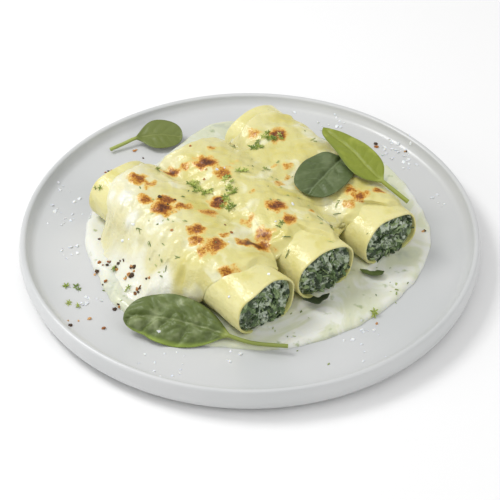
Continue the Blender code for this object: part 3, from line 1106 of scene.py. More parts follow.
    def surface(self, across: np.ndarray, along: np.ndarray) -> np.ndarray:
        """Height of the settled cheese.

        Sharp valleys are filled by a weighted mean over two rings of places round each one, and
        lumps, runs and pearls are laid on top; the pearls are raised dabs that also carry painted
        highlights.

        Args:
            across: places across the food.
            along: places along it.

        Returns:
            One height for each place.
        """
        turns = np.arange(8) * np.pi / 4
        own_weight = 2.0
        ring_weights = {0.6: 1.0, 1.2: 0.75}
        height = own_weight * self.draped(across, along)
        for turn in turns:
            for share, weight in ring_weights.items():
                aside = across + self.filled_reach * share * math.cos(turn)
                ahead = along + self.filled_reach * share * math.sin(turn)
                height = height + weight * self.draped(aside, ahead)
        height = height / (own_weight + len(turns) * sum(ring_weights.values()))
        height = height + self.swells.over(across, along) + self.lumps.over(across, along)
        highlight_pearls = self.highlight_pearl_height * self.highlight_pearled(across, along)
        return height + self.runs(across, along) + highlight_pearls

    def highlight_pearled(self, across: np.ndarray, along: np.ndarray) -> np.ndarray:
        """Where pearls stand on the left flank: small raised dabs of cream, also painted white as
        highlights.
        """
        highlight_pearled = np.zeros_like(across)
        for middle_across, middle_along, radius in self.highlight_pearls:
            distance = (across - middle_across) ** 2 + (along - middle_along) ** 2
            highlight_pearled = np.maximum(highlight_pearled, np.exp(-distance / radius ** 2))
        return highlight_pearled

    def runs(self, across: np.ndarray, along: np.ndarray) -> np.ndarray:
        """Thick runs of sauce down the left flank, drawn out across the food."""
        upper, lower = self.flank
        drawn_out = self.run_swells.over(across * self.run_stretch, along)
        runs = drawn_out + self.run_lumps.over(across, along)
        return ramp(across, upper) * ramp(across, lower) * runs

    def feathered(self, rings: np.ndarray, thinning: np.ndarray, drop: np.ndarray) -> np.ndarray:
        """Thin the edge out: against a tube's skin beside a tube, and straight down elsewhere.

        Args:
            rings: the edge's points on the food's axes, from the rim inwards.
            thinning: from 1 at the rim to 0 inside, as a column.
            drop: how far the rim stands over what is under it.

        Returns:
            The same points, moved.
        """
        along = rings[..., 1]
        target, weight, nearness = np.zeros_like(rings), 0.0, 0.0
        for tube in TUBES:
            skin_place, out = tube.hold(rings)
            beside = smooth((along - tube.near[1]) / self.end_fade)
            beside = beside * smooth((tube.far[1] - along) / self.end_fade)
            share = beside / np.maximum(out, 0.5) ** 12
            target = target + skin_place * share[..., None]
            weight = weight + share
            rim_near = beside[0] * (1.0 - smooth((out[0] - self.held) / self.held_fade))
            nearness = np.maximum(nearness, rim_near)
        target = target / np.maximum(weight, 1e-6)[..., None]
        target[..., 2] -= self.sink
        lowered = rings.copy()
        lowered[..., 2] -= drop * thinning * (1.0 - nearness)
        return lowered + (target - lowered) * (thinning * nearness)[..., None]

    def sagged(self, rings: np.ndarray) -> np.ndarray:
        """Push runs of cheese out of the steep sides.

        Args:
            rings: the top's points on the plate's axes, from the rim inwards.

        Returns:
            The same points, moved outwards and inwards where the side is steep.
        """
        around_rim = np.roll(rings, -1, axis=1) - np.roll(rings, 1, axis=1)
        normal = np.cross(around_rim, np.gradient(rings, axis=0))
        normal /= np.linalg.norm(normal, axis=-1, keepdims=True) + 1e-9
        normal *= np.sign(normal[..., 2:])
        drawn_down = rings * self.sag_stretch
        run = self.sag_runs.at(drawn_down) + self.sag_beads.at(drawn_down)
        steep, low = ramp(normal[..., 2], self.sag_slope), ramp(rings[..., 2], self.sag_height)
        inside = ramp(np.arange(len(rings)), self.sag_inside)[:, None]
        push = self.sag * steep * low * run * inside
        return rings + normal * (1.0, 1.0, 0.0) * push[..., None]

    def browning(self, across: np.ndarray, along: np.ndarray) -> np.ndarray:
        """How browned the cheese is, from 0 to a little over 1."""
        wander_across, wander_along = (wave.over(across, along) for wave in self.scorch_wander)
        browning = np.zeros_like(across)
        for scorch in SCORCHES:
            turn = math.radians(scorch.turn)
            aside = across - scorch.across + wander_across
            ahead = along - scorch.along + wander_along
            side = (aside * math.cos(turn) + ahead * math.sin(turn)) / scorch.half_across
            front = (ahead * math.cos(turn) - aside * math.sin(turn)) / scorch.half_along
            patch = 1.0 - ramp(np.sqrt(side ** 2 + front ** 2), self.scorch_fade)
            browning = np.maximum(browning, scorch.heat * patch)
        return browning

    def rim(self) -> np.ndarray:
        """The cheese's uneven outline on the food's axes, with drips down the right flank."""
        places = np.linspace(0, len(self.outline), self.columns, endpoint=False)
        rim = spline(self.outline, places, closed=True)
        rim = rim + np.stack([wave.at(rim) for wave in self.rim_wander], axis=-1)
        rim[:, 0] += ramp(rim[:, 0], self.hanging) * self.drips.at(rim)
        return rim

    def build(self) -> None:
        """Spread the cheese: wide thin rings at its edge, then even ones up to its centre."""
        rim = self.rim()
        ray = rim - self.centre
        length = np.linalg.norm(ray, axis=1)
        top = self.surface(rim[:, 0], rim[:, 1])
        under = np.maximum.reduce([tube.covers(rim[:, 0], rim[:, 1]) for tube in TUBES])
        under = np.maximum(under, POOL_TOP)
        flowing = ramp(rim[:, 0], self.flowing)
        drop = np.maximum(top - under - self.lip * (1.0 - 2.0 * flowing), self.least_drop)
        width = np.clip(self.edge_slope * drop, *self.edge_widths) + self.flowing_width * flowing

        inwards = np.linspace(0, 1, self.edge_rings)[:, None]
        edge = 1.0 - width * inwards / length
        inner = np.linspace(1, 0, self.rings + 1)[1:-1, None] * edge[-1]
        share = np.vstack([edge, inner])
        across = self.centre[0] + ray[:, 0] * share
        along = self.centre[1] + ray[:, 1] * share
        browning = self.browning(across, along)
        height = self.surface(across, along) + self.scorch_height * np.minimum(browning, 1.0)
        rings = np.stack([across, along, height], axis=-1)
        thinning = 1.0 - smooth(inwards)
        rings[:self.edge_rings] = self.feathered(rings[:self.edge_rings], thinning, drop)
        rings = self.sagged(from_food(*np.moveaxis(rings, -1, 0)))
        rings = np.concatenate([rings[:1] - (0.0, 0.0, self.underside), rings])
        across, along, browning = (
            np.vstack([part[:1], part]) for part in (across, along, browning)
        )
        masks = {
            Mask.BROWNING: browning,
            Mask.CREAM: np.maximum(self.creaminess(across, along), self.thinned(rings[..., 2])),
            Mask.BARE: self.bareness(across, along),
        }
        settle(skin("cheese", rings, self.finish, masks), self.finish, "cheese_topping")

    def creaminess(self, across: np.ndarray, along: np.ndarray) -> np.ndarray:
        """Where white sauce covers the cheese, down the left flank and along the back, and where
        the pearls are painted white as highlights.
        """
        wander = self.cream_wander.over(across, along)
        apron = ramp(across, self.cream_apron, -wander)
        apron = apron * (1.0 - 0.85 * ramp(along, self.cream_far, wander))
        over_across, over_along = self.cream_left
        left = 0.4 * ramp(across, over_across, -2.0 * wander) * ramp(along, over_along)
        over_across, over_along = self.cream_back
        back = 0.3 * ramp(along, over_along, wander) * ramp(across, over_across)
        # the pearls are painted white here as highlights
        return np.maximum(apron, left + back + 0.9 * self.highlight_pearled(across, along))

    def thinned(self, height: np.ndarray) -> np.ndarray:
        """Where the cheese has run into the pool and mixed with its sauce."""
        return 0.8 * ramp(height, self.cream_mixed)

    def bareness(self, across: np.ndarray, along: np.ndarray) -> np.ndarray:
        """Where the pasta shows through: near the tubes' open ends and at two far ones."""
        wander = self.bare_wander.over(across, along)
        bare = ramp(along, self.bare_near, -wander)
        for over_across, over_along in (self.bare_far_left, self.bare_far_right):
            bare = bare + ramp(along, over_along, wander) * ramp(across, over_across)
        return np.clip(bare, 0.0, 1.0)


# ---------------------------------------------------------------------------
# Tubes
# ---------------------------------------------------------------------------


@dataclass(frozen=True)
class PastaRoll:
    """The pasta sheet of one tube, open at both ends, with soft uneven lips."""

    tube: Tube
    mouth_radius: float = 18.0
    lip_wander: float = 0.9
    lip_reach: float = 12.0
    unevenness: float = 0.3
    flattened: float = 0.6
    inner_shade: float = 0.4
    low_shade: float = 0.6
    low_from: float = 3.0
    low_fade: float = 9.0
    columns: int = 144
    stations: int = 70
    inside: int = 16
    lip_rings: int = 5
    finish: PastaSheet = PastaSheet()

    def build(self) -> None:
        """Roll the sheet: outside, far lip, inside, near lip."""
        length = self.tube.far[1] - self.tube.near[1]
        angle = around(self.columns)[None, :]
        outside = 0.5 - 0.5 * np.cos(np.linspace(0, np.pi, self.stations))
        half = SHEET / 2
        bend = np.linspace(0, np.pi, self.lip_rings + 2)[1:-1]
        reach = half / length
        share = np.concatenate([
            outside, 1 + reach * np.sin(bend),
            np.linspace(1, 0, self.inside), -reach * np.sin(bend),
        ])[:, None]
        inset = np.concatenate([
            np.zeros(self.stations), half - half * np.cos(bend),
            np.full(self.inside, SHEET), half + half * np.cos(bend),
        ])[:, None]
        across, along, height = self.tube.section(share, angle, inset)
        mouth = np.concatenate([np.cos(angle), np.sin(angle)]).T * self.mouth_radius
        wander = Ripple(26.0, 40 + self.tube.number, self.lip_wander).at(mouth)
        near = 1.0 - smooth(share * length / self.lip_reach)
        far = 1.0 - smooth((1.0 - share) * length / self.lip_reach)
        along = along + wander * near - wander[::-1] * far
        places = np.stack([across, along, height], axis=-1)
        swell = Ripple(17.0, 50 + self.tube.number, self.unevenness).at(places)
        across = across + swell * np.cos(angle)
        height = height + self.flattened * swell * np.sin(angle)
        # painted shade: darker inside the mouths and down the lower flanks, where less light falls
        low = smooth((self.tube.middle - self.low_from - height) / self.low_fade)
        shade = self.inner_shade * smooth(inset / SHEET) + self.low_shade * low
        shade = np.clip(shade, 0.0, 1.0)
        rings = from_food(across, along, height)
        name = f"pasta_roll_{self.tube.number}"
        piece = skin(name, rings, self.finish, {Mask.SHADE: shade}, hollow=True)
        settle(piece, self.finish, f"pasta_{self.tube.number}")


@dataclass(frozen=True)
class FillingPlug:
    """The filling of one tube, with a craggy face at each end."""

    tube: Tube
    inset: float = SHEET + 0.15
    recess: float = 1.4
    lumps: float = 0.7
    crumbs: float = 1.1
    grains: float = 0.35
    calm_edge: float = 0.75
    calm: Span = (0.86, 1.0)
    sunk: Span = (0.7, 1.0)
    columns: int = 132
    face_rings: int = 40
    body_stations: int = 7
    finish: SpinachFilling = SpinachFilling()

    def crags(self, side: np.ndarray, up: np.ndarray, end: End) -> np.ndarray:
        """How far the face is pushed in, place by place.

        Args:
            side: places across the face.
            up: heights above its middle.
            end: which face.

        Returns:
            One depth for each place.
        """
        seed = 60 + 10 * self.tube.number + int(end.value)
        crumbs = self.crumbs * np.abs(Ripple(4.2, seed + 1).over(side, up))
        grains = Ripple(1.9, seed + 2, self.grains).over(side, up)
        depth = Ripple(7.0, seed, self.lumps).over(side, up) + (crumbs + grains)
        if end is End.NEAR:
            dent_side, dent_up, dent_depth, dent_radius = self.tube.dent
            distance = (side - dent_side) ** 2 + (up - dent_up) ** 2
            depth = depth + dent_depth * np.exp(-distance / dent_radius ** 2)
            depth = depth - self.tube.spill * smooth(-up / self.tube.height - 0.05)
        return depth

    def face(self, end: End) -> tuple[np.ndarray, np.ndarray, np.ndarray]:
        """The rings of one end face, from its middle outwards.

        Args:
            end: which face.

        Returns:
            Across, along and height, ring by ring.
        """
        angle = around(self.columns)[None, :]
        across, along, height = self.tube.section(np.full((1, 1), end.value), angle, self.inset)
        size = np.linspace(0.04, 1.0, self.face_rings)[:, None]
        place = self.tube.near if end is End.NEAR else self.tube.far
        side = (across - place[0]) * size
        up = (height - self.tube.middle) * size
        depth = self.crags(side, up, end) * (1.0 - self.calm_edge * ramp(size, self.calm))
        depth = depth + self.recess * ramp(size, self.sunk)
        inward = 1.0 if end is End.NEAR else -1.0
        return place[0] + side, along + inward * depth, self.tube.middle + up

    def build(self) -> bpy.types.Object:
        """Pack the filling."""
        angle = around(self.columns)[None, :]
        inner = np.linspace(0.05, 0.95, self.body_stations)[:, None]
        body = self.tube.section(inner, angle, self.inset)
        shape = (self.body_stations, self.columns)
        rings = from_food(*(
            np.vstack([near, np.broadcast_to(middle, shape), far[::-1]])
            for near, middle, far in zip(self.face(End.NEAR), body, self.face(End.FAR))
        ))
        piece = skin(f"filling_plug_{self.tube.number}", rings, self.finish)
        return settle(piece, self.finish, f"filling_{self.tube.number}")


# ---------------------------------------------------------------------------
# Leaves
# ---------------------------------------------------------------------------


@dataclass(frozen=True)
class BladeGrid:
    """A leaf's points, ring by ring from the stem's cut end to the tip.

    Share, half width and broadness, which is 0 on the stem and 1 on the blade, are columns.
    Across is a row from edge to edge.  A place is how far a point is from the stem's end and
    from the midrib.
    """

    share: np.ndarray
    half: np.ndarray
    broad: np.ndarray
    across: np.ndarray
    places: np.ndarray

    @property
    def offset(self) -> np.ndarray:
        """How far each point is from the midrib."""
        return self.places[..., 1]

    @property
    def full(self) -> np.ndarray:
        """From 1 at the blade's midrib to 0 at its edge and on the stem."""
        return self.broad * (1.0 - np.abs(self.across) ** 3)


def wrapped(upper: np.ndarray, lower: np.ndarray) -> np.ndarray:
    """Rings that run over a blade's upper side and back under its lower one."""
    return np.concatenate([upper, lower[:, -2:0:-1]], axis=1)


@dataclass(frozen=True)
class SpinachLeaf:
    """A leaf on a curved midrib, from the stem's cut end to the tip of the blade."""

    node: str
    midrib: tuple[tuple[float, float, float], ...]
    half_width: float
    stem_share: float
    widest: float
    fullness: float
    cup: float
    roll: float
    finish: LeafBlade
    stem_half: float = 1.1
    blade_half: float = 0.3
    flare: float = 0.0
    tear: float = 0.0
    # painted fold: which edge gets the painted strip and how strongly; on the young leaf it is
    # painted shade
    painted_fold: float = 0.0
    vein_spacing: float = 6.5
    quilting: float = 0.45
    crumple: float = 0.0
    groove: float = 0.45
    valley: float = 0.9
    flutter: float = 0.5
    shoulder: float = 4.0
    stem_taper: float = 0.4
    stem_fade: float = 5.0
    stem_over: Span = (0.05, 0.15)
    folded: Span = (0.72, 0.97)
    vein_slant: float = 0.95
    vein_bow: float = 0.012
    vein_wander: float = 0.22
    vein_squareness: float = 0.7
    vein_half: float = 0.5
    vein_strength: float = 0.75
    stations: int = 120
    columns: int = 58

    @property
    def seed(self) -> int:
        """The leaf's own seed, out of its name."""
        return sum(ord(letter) for letter in self.node)

    def half_widths(self, share: np.ndarray) -> np.ndarray:
        """Half the leaf's width, from the stem's end (0) to the blade's tip (1)."""
        blade = np.clip((share - self.stem_share) / (1.0 - self.stem_share), 0.0, 1.0)
        power = math.log(0.5) / math.log(self.widest)
        fullness = self.fullness * (1.0 + self.flare * np.maximum(1.0 - blade / self.widest, 0.0))
        swell = np.maximum(np.sin(np.pi * blade ** power), 0.0) ** fullness
        return np.maximum(self.half_width * swell, self.stem_half * (1.0 - self.stem_taper * blade))

    def frame(self, share: np.ndarray) -> tuple[np.ndarray, np.ndarray, np.ndarray]:
        """The midrib with the directions across the blade and out of it.

        Args:
            share: places on the midrib, from 0 to 1.

        Returns:
            The midrib's points, the sideways directions and the upward ones.
        """
        spine = spline(self.midrib, share * (len(self.midrib) - 1), closed=False)
        tangent = np.gradient(spine, axis=0)
        side = np.cross(tangent, (0.0, 0.0, 1.0))
        side /= np.linalg.norm(side, axis=1, keepdims=True)
        upward = np.cross(side, tangent)
        upward /= np.linalg.norm(upward, axis=1, keepdims=True)
        cosine, sine = math.cos(math.radians(self.roll)), math.sin(math.radians(self.roll))
        return spine, side * cosine + upward * sine, upward * cosine - side * sine

    def vein_phase(self, grid: BladeGrid) -> np.ndarray:
        """How many side veins lie before each point; a whole number is on a vein."""
        slanted = grid.places[..., 0] - self.vein_slant * np.abs(grid.offset)
        slanted = slanted + self.vein_bow * grid.offset ** 2
        phase = slanted / self.vein_spacing + 0.5 * (grid.offset > 0)
        return phase + self.vein_wander * Ripple(14.0, self.seed).at(grid.places)

    def veins(self, grid: BladeGrid, phase: np.ndarray) -> np.ndarray:
        """How strongly a vein shows.

        Args:
            grid: the leaf's points.
            phase: how many side veins lie before each of them.

        Returns:
            One share for each point.
        """
        distance = np.abs(phase - np.round(phase)) * self.vein_spacing * self.vein_squareness
        side_vein = np.exp(-(distance / self.vein_half) ** 2) * grid.full
        rib_half = self.vein_half + self.vein_half * (1 - grid.share)
        rib = np.exp(-(grid.offset / rib_half) ** 2) * grid.broad
        return np.maximum(self.vein_strength * side_vein, rib)

    def relief(self, grid: BladeGrid, phase: np.ndarray) -> np.ndarray:
        """How far the leaf lifts at its edges, bulges between veins and sinks along the midrib.

        Args:
            grid: the leaf's points.
            phase: how many side veins lie before each of them.

        Returns:
            One height for each point.
        """
        across, broad, full = grid.across, grid.broad, grid.full
        lift = self.cup * across ** 2 * broad * (grid.half / self.half_width)
        lift = lift + self.flutter * broad * np.abs(across) ** 3 * np.sign(across) * (
            Ripple(17.0, self.seed + 2).at(grid.places)
        )
        pillow = np.abs(np.sin(np.pi * phase)) ** 1.2 - 0.5
        relief = self.quilting * pillow * full * smooth(np.abs(grid.offset) / 3.0)
        relief = relief + 0.15 * self.quilting * Ripple(3.0, self.seed + 1).at(grid.places) * full
        relief = relief + self.crumple * np.abs(Ripple(14.0, self.seed + 4).at(grid.places)) * full
        return lift + (relief - self.groove * np.exp(-(grid.offset / self.valley) ** 2) * broad)

    def masks(self, grid: BladeGrid, vein: np.ndarray) -> dict[Mask, np.ndarray]:
        """What the finish reads: the veins, the stem, and a strip painted where an edge folds over,
        darker as painted shade on the young leaf and paler on the front leaf.

        Args:
            grid: the leaf's points.
            vein: how strongly a vein shows at each of them.

        Returns:
            The masks over one skin.
        """
        stem = 1.0 - smooth((grid.half - self.stem_half) / self.stem_fade)
        start, end = self.stem_over
        stem = stem * (1.0 - smooth((grid.share - self.stem_share - start) / (end - start)))
        # painted fold: the strip painted along one edge, painted shade on the young leaf
        folded = ramp(np.sign(self.painted_fold) * grid.across, self.folded)
        folded = folded * abs(self.painted_fold) * grid.broad
        return {Mask.VEIN: vein, Mask.STEM: np.broadcast_to(stem, vein.shape), Mask.SHADE: folded}

    def build(self) -> bpy.types.Object:
        """Loft the leaf: its upper skin, and back under it the lower one."""
        share = np.linspace(0, 1, self.stations)[:, None]
        across = np.linspace(-1, 1, self.columns)[None, :]
        spine, side, upward = self.frame(share[:, 0])
        steps = np.linalg.norm(np.diff(spine, axis=0), axis=1)
        length = np.concatenate([[0.0], np.cumsum(steps)])[:, None]
        torn = 1.0 + self.tear * Ripple(5.0, self.seed + 3).at(spine)
        half = (self.half_widths(share[:, 0]) * torn)[:, None]
        broad = smooth((half - self.stem_half) / self.shoulder)
        places = np.stack(np.broadcast_arrays(length, half * across), axis=-1)
        grid = BladeGrid(share, half, broad, across, places)
        phase = self.vein_phase(grid)

        thick = self.stem_half + (self.blade_half - self.stem_half) * broad
        roundness = 2.0 + 6.0 * broad
        out = thick * np.sqrt(np.maximum(1.0 - np.abs(across) ** roundness, 0.0))
        middle = self.relief(grid, phase)
        flat = spine[:, None, :] + side[:, None, :] * grid.offset[..., None]
        rings = wrapped(*(
            flat + upward[:, None, :] * height[..., None] for height in (middle + out, middle - out)
        ))
        masks = {
            mask: wrapped(values, values)
            for mask, values in self.masks(grid, self.veins(grid, phase)).items()
        }
        piece = skin(f"spinach_{self.node}", rings, self.finish, masks)
        return settle(piece, self.finish, self.node)


LEAVES = (
    SpinachLeaf(
        "leaf_back",
        ((-84, 77.5, 13.4), (-76, 82, 14.5), (-68, 86, 15.8), (-55, 87.5, 17), (-40.8, 86.5, 16)),
        10.3, 0.38, 0.6, 0.55, 1.0, -20.0,
        LeafBlade(
            "mid_green_leaf", "#6a7538", "#7d8648", "#858d50", "#9ea95c", mottle_and_sheen_share=0.4, gloss=0.4
        ),
        flare=3.0, quilting=0.2, groove=0.3, flutter=0.2,
    ),
    SpinachLeaf(
        "leaf_front",
        ((20, -94, 16), (0, -91.2, 16), (-19, -84.2, 18), (-40, -78.8, 20.5), (-55, -76, 21),
         (-67.5, -77, 19)),
        14.2, 0.29, 0.45, 0.6, -1.5, 31.0,
        LeafBlade(
            "dark_green_leaf", "#5f6d3a", "#959f74", "#98a270", "#8a954a", "#93a84c", 0.5, 0.4
        ),
        flare=1.75, painted_fold=-0.8, vein_spacing=12.5, quilting=1.9, crumple=1.7, groove=0.8, valley=1.2,
        flutter=1.2,
    ),
    SpinachLeaf(
        "leaf_round",
        ((52.6, 29.6, 45), (49.1, 25.1, 45.2), (42.3, 14.6, 45.3), (35.3, 4.1, 44.5),
         (31.8, -1.3, 43)),
        14.9, 0.03, 0.5, 0.5, 1.0, 2.0,
        LeafBlade(
            "grey_green_leaf", "#55633a", "#6c7852", "#93a07c", "#7f8a64", mottle_and_sheen_share=0.5, gloss=0.4
        ),
        vein_spacing=9.0, quilting=0.9, crumple=0.5, groove=1.7, valley=1.5, flutter=0.4,
    ),
    SpinachLeaf(
        "leaf_bright",
        ((88.5, 0.4, 36.4), (81, 4.7, 40.7), (73.5, 8.9, 45.1), (65.7, 17.8, 47.8),
         (56.8, 32, 49.5), (42.5, 53, 47.5)),
        10.0, 0.35, 0.46, 0.6, 1.0, 4.0,
        LeafBlade(
            "young_green_leaf", "#7f8a2e", "#9aa344", "#a3ab55", "#98a24e", "#6f7c2b", 0.6, 0.42
        ),
        stem_half=1.25, flare=1.4, painted_fold=-0.8, quilting=0.3, crumple=0.4, groove=0.6, flutter=0.2,
    ),
    SpinachLeaf(
        "scrap_left", ((28.5, -61.5, 20), (36, -61, 18), (43, -56.5, 19)),
        3.0, 0.0, 0.5, 0.9, 0.5, 10.0,
        LeafBlade("wilted_dark_leaf", "#27301c", "#3c472b", "#3f4a2d", "#3f4a2d", slot="dark_leaf"),
        0.5, tear=0.4, quilting=0.2, groove=0.1, stations=48, columns=20,
    ),
    SpinachLeaf(
        "scrap_right", ((61, -33, 15.6), (68, -37, 16), (74, -35.5, 16.4)),
        3.0, 0.0, 0.5, 0.9, 0.5, 10.0,
        LeafBlade(
            "wilted_green_leaf", "#4c5a2e", "#5f6d3b", "#6b7846", "#6b7846", slot="dark_leaf"
        ),
        0.5, tear=0.4, quilting=0.2, groove=0.1, stations=48, columns=20,
    ),
)


# ---------------------------------------------------------------------------
# Strewn bits: herbs, pepper, salt, and the shreds in the filling
# ---------------------------------------------------------------------------


class StrewnTree:
    """The Geometry Nodes tree that lays one bit on each marked point, and makes them one mesh.

    Each point carries the direction that its bit lies on.  Sizes and tones are drawn from
    seeds of their own, this far from the piece's seed.
    """

    name = "strewn_bits"
    sizes = {
        "Least size": ("NodeSocketFloat", 0.8),
        "Largest size": ("NodeSocketFloat", 1.2),
        "Tilt": ("NodeSocketFloat", 0.4),
        "Seed": ("NodeSocketInt", 1),
    }
    size_draws = 7.0
    tone_draws = 13.0

    @classmethod
    def build(cls) -> Tree:
        """Build the tree once, and give the same one after that."""
        tree = bpy.data.node_groups.get(cls.name)
        if tree is not None:
            return tree
        tree = bpy.data.node_groups.new(cls.name, "GeometryNodeTree")
        face = tree.interface
        face.new_socket("Points", in_out="INPUT", socket_type="NodeSocketGeometry")
        face.new_socket("Bits", in_out="INPUT", socket_type="NodeSocketCollection")
        face.new_socket("Finish", in_out="INPUT", socket_type="NodeSocketMaterial")
        for name, (kind, value) in cls.sizes.items():
            face.new_socket(name, in_out="INPUT", socket_type=kind).default_value = value
        face.new_socket("Bits", in_out="OUTPUT", socket_type="NodeSocketGeometry")

        given = add(tree, "NodeGroupInput").outputs
        lie = add(
            tree, "GeometryNodeInputNamedAttribute", {"Name": Mask.LIE.value},
            data_type="FLOAT_VECTOR",
        )
        upright = add(
            tree, "FunctionNodeAlignRotationToVector", {"Vector": lie.outputs[0]}, axis="Z"
        )
        back = add(tree, "ShaderNodeMath", {0: given["Tilt"], 1: -1.0}, operation="MULTIPLY")
        least, most = (
            add(tree, "ShaderNodeCombineXYZ", {0: lean, 1: lean, 2: spin})
            for lean, spin in ((back.outputs[0], -math.pi), (given["Tilt"], math.pi))
        )
        turn = add(
            tree, "FunctionNodeRandomValue",
            {"Min": least.outputs[0], "Max": most.outputs[0], "Seed": given["Seed"]},
            data_type="FLOAT_VECTOR",
        )
        spun = add(tree, "FunctionNodeEulerToRotation", {0: turn.outputs[0]})
        facing = add(
            tree, "FunctionNodeRotateRotation",
            {"Rotation": upright.outputs[0], "Rotate By": spun.outputs[0]},
            rotation_space="LOCAL",
        )
        size_seed = add(tree, "ShaderNodeMath", {0: given["Seed"], 1: cls.size_draws})
        size = add(
            tree, "FunctionNodeRandomValue",
            {2: given["Least size"], 3: given["Largest size"], "Seed": size_seed.outputs[0]},
        )
        bits = add(
            tree, "GeometryNodeCollectionInfo",
            {"Collection": given["Bits"], "Separate Children": True, "Reset Children": True},
        )
        laid = add(
            tree, "GeometryNodeInstanceOnPoints",
            {"Points": given["Points"], "Instance": bits.outputs[0], "Pick Instance": True,
             "Rotation": facing.outputs[0], "Scale": size.outputs[1]},
        )
        tone_seed = add(tree, "ShaderNodeMath", {0: given["Seed"], 1: cls.tone_draws})
        tone = add(
            tree, "FunctionNodeRandomValue", {2: 0.0, 3: 1.0, "Seed": tone_seed.outputs[0]}
        )
        toned = add(
            tree, "GeometryNodeStoreNamedAttribute",
            {"Geometry": laid.outputs[0], "Name": Mask.TONE.value, "Value": tone.outputs[1]},
            data_type="FLOAT", domain="INSTANCE",
        )
        real = add(tree, "GeometryNodeRealizeInstances", {0: toned.outputs[0]})
        coated = add(
            tree, "GeometryNodeSetMaterial", {0: real.outputs[0], "Material": given["Finish"]}
        )
        add(tree, "NodeGroupOutput", {0: coated.outputs[0]})
        return tree


class BitKind(Enum):
    """The shapes that a strewn bit can have."""

    CRUMB = "crumb"
    CHIP = "chip"
    SLIVER = "sliver"
    FRILL = "frill"
    SHRED = "shred"
    CURD = "curd"


BALL = tuple((height, math.sqrt(0.25 - height ** 2)) for height in (-0.42, -0.2, 0.2, 0.42))
SLAB = ((-0.5, 0.5), (0.5, 0.5))


def lump(
    rng: np.random.Generator, sides: int, levels: Sequence[tuple[float, float]], flat: float
) -> np.ndarray:
    """Rings of an angular lump, about 1 mm wide.

    Args:
        rng: gives the lump its own shape.
        sides: how many corners a ring has.
        levels: the height and the reach of each ring.
        flat: the lump's height as a share of its width.

    Returns:
        The rings, from the lowest up.
    """
    angle = around(sides)
    rings = []
    for height, width in levels:
        reach = width * rng.uniform(0.45, 1.45, sides)
        level = (height + rng.uniform(-0.06, 0.06, sides)) * flat
        rings.append(np.stack([reach * np.cos(angle), reach * np.sin(angle), level], axis=-1))
    return np.array(rings) + (0.0, 0.0, 0.3 * flat)


def leaflet(rng: np.random.Generator) -> np.ndarray:
    """Rings of a thin curled parsley leaflet with five lobes, about 1 mm wide."""
    turn = around(20)
    lobes = 0.29 + 0.22 * np.cos(5 * turn) + rng.uniform(-0.06, 0.06, len(turn))
    x, y = lobes * np.cos(turn) * 1.15, lobes * np.sin(turn)
    curl = rng.uniform(-0.5, 0.9) * x ** 2 + rng.uniform(-0.5, 0.9) * y ** 2
    edge = np.stack([x, y, curl + 0.08], axis=-1)
    return np.array([
        edge * (share, share, 1.0) + (0.0, 0.0, lift)
        for share, lift in ((0.3, -0.03), (1.0, 0.0), (0.3, 0.03))
    ])


def strip(
    rng: np.random.Generator, width: float, thick: float, bend: float, stations: int
) -> np.ndarray:
    """Rings of a thin bent strip, 1 mm long and narrow at its ends.

    Args:
        rng: gives the strip its own bend and outline.
        width: its width in the middle.
        thick: half its thickness.
        bend: how strongly it bends and curls.
        stations: how many rings it has.

    Returns:
        The rings, from end to end.
    """
    place = np.linspace(-0.5, 0.5, stations)
    sway, arch = bend * rng.uniform(-0.5, 0.5), bend * rng.uniform(0.1, 0.6)
    half = width / 2 * np.sqrt(np.maximum(1.0 - (1.9 * place) ** 2, 0.04))
    half = half * rng.uniform(0.6, 1.3, stations)
    curl = rng.uniform(-0.25, 0.25, stations) * bend * 0.5
    middle = np.stack(
        [place, sway * (2 * place) ** 2 * 0.3, thick + arch * (0.25 - place ** 2)], axis=-1
    )
    none, up = np.zeros(stations), np.full(stations, thick)
    corners = [(none, -half, curl), (none, none, up), (none, half, -curl), (none, none, -up)]
    return np.stack([np.stack(corner, axis=-1) + middle for corner in corners], axis=1)


def bit_mesh(kind: BitKind, variant: int) -> bpy.types.Mesh:
    """One bit, about a millimetre in size, resting on its origin.

    Args:
        kind: the bit's shape.
        variant: which of that kind's shapes.

    Returns:
        A closed mesh of a few dozen faces.
    """
    rng = np.random.default_rng(100 * (list(BitKind).index(kind) + 1) + variant)
    match kind:
        case BitKind.CRUMB:
            rings = lump(rng, 6, BALL, 0.6)
        case BitKind.CURD:
            rings = lump(rng, 6, BALL, 0.7)
        case BitKind.CHIP:
            rings = lump(rng, 5, SLAB, 0.3)
        case BitKind.FRILL:
            rings = leaflet(rng)
        case BitKind.SLIVER:
            rings = strip(rng, 0.13, 0.05, 0.35, 7)
        case BitKind.SHRED:
            rings = strip(rng, 0.42, 0.07, 0.6, 6)
    count, columns = rings.shape[:2]
    faces = [
        (row * columns + column, row * columns + (column + 1) % columns,
         (row + 1) * columns + (column + 1) % columns, (row + 1) * columns + column)
        for row in range(count - 1) for column in range(columns)
    ]
    faces += [tuple(range(columns))[::-1], tuple(range((count - 1) * columns, count * columns))]
    mesh = bpy.data.meshes.new(f"{kind.value}_{variant}")
    mesh.from_pydata((rings.reshape(-1, 3) * MM).tolist(), [], faces)
    if kind in (BitKind.SLIVER, BitKind.SHRED):
        mesh.flip_normals()
    if kind is BitKind.CURD:
        mesh.shade_smooth()
    return mesh


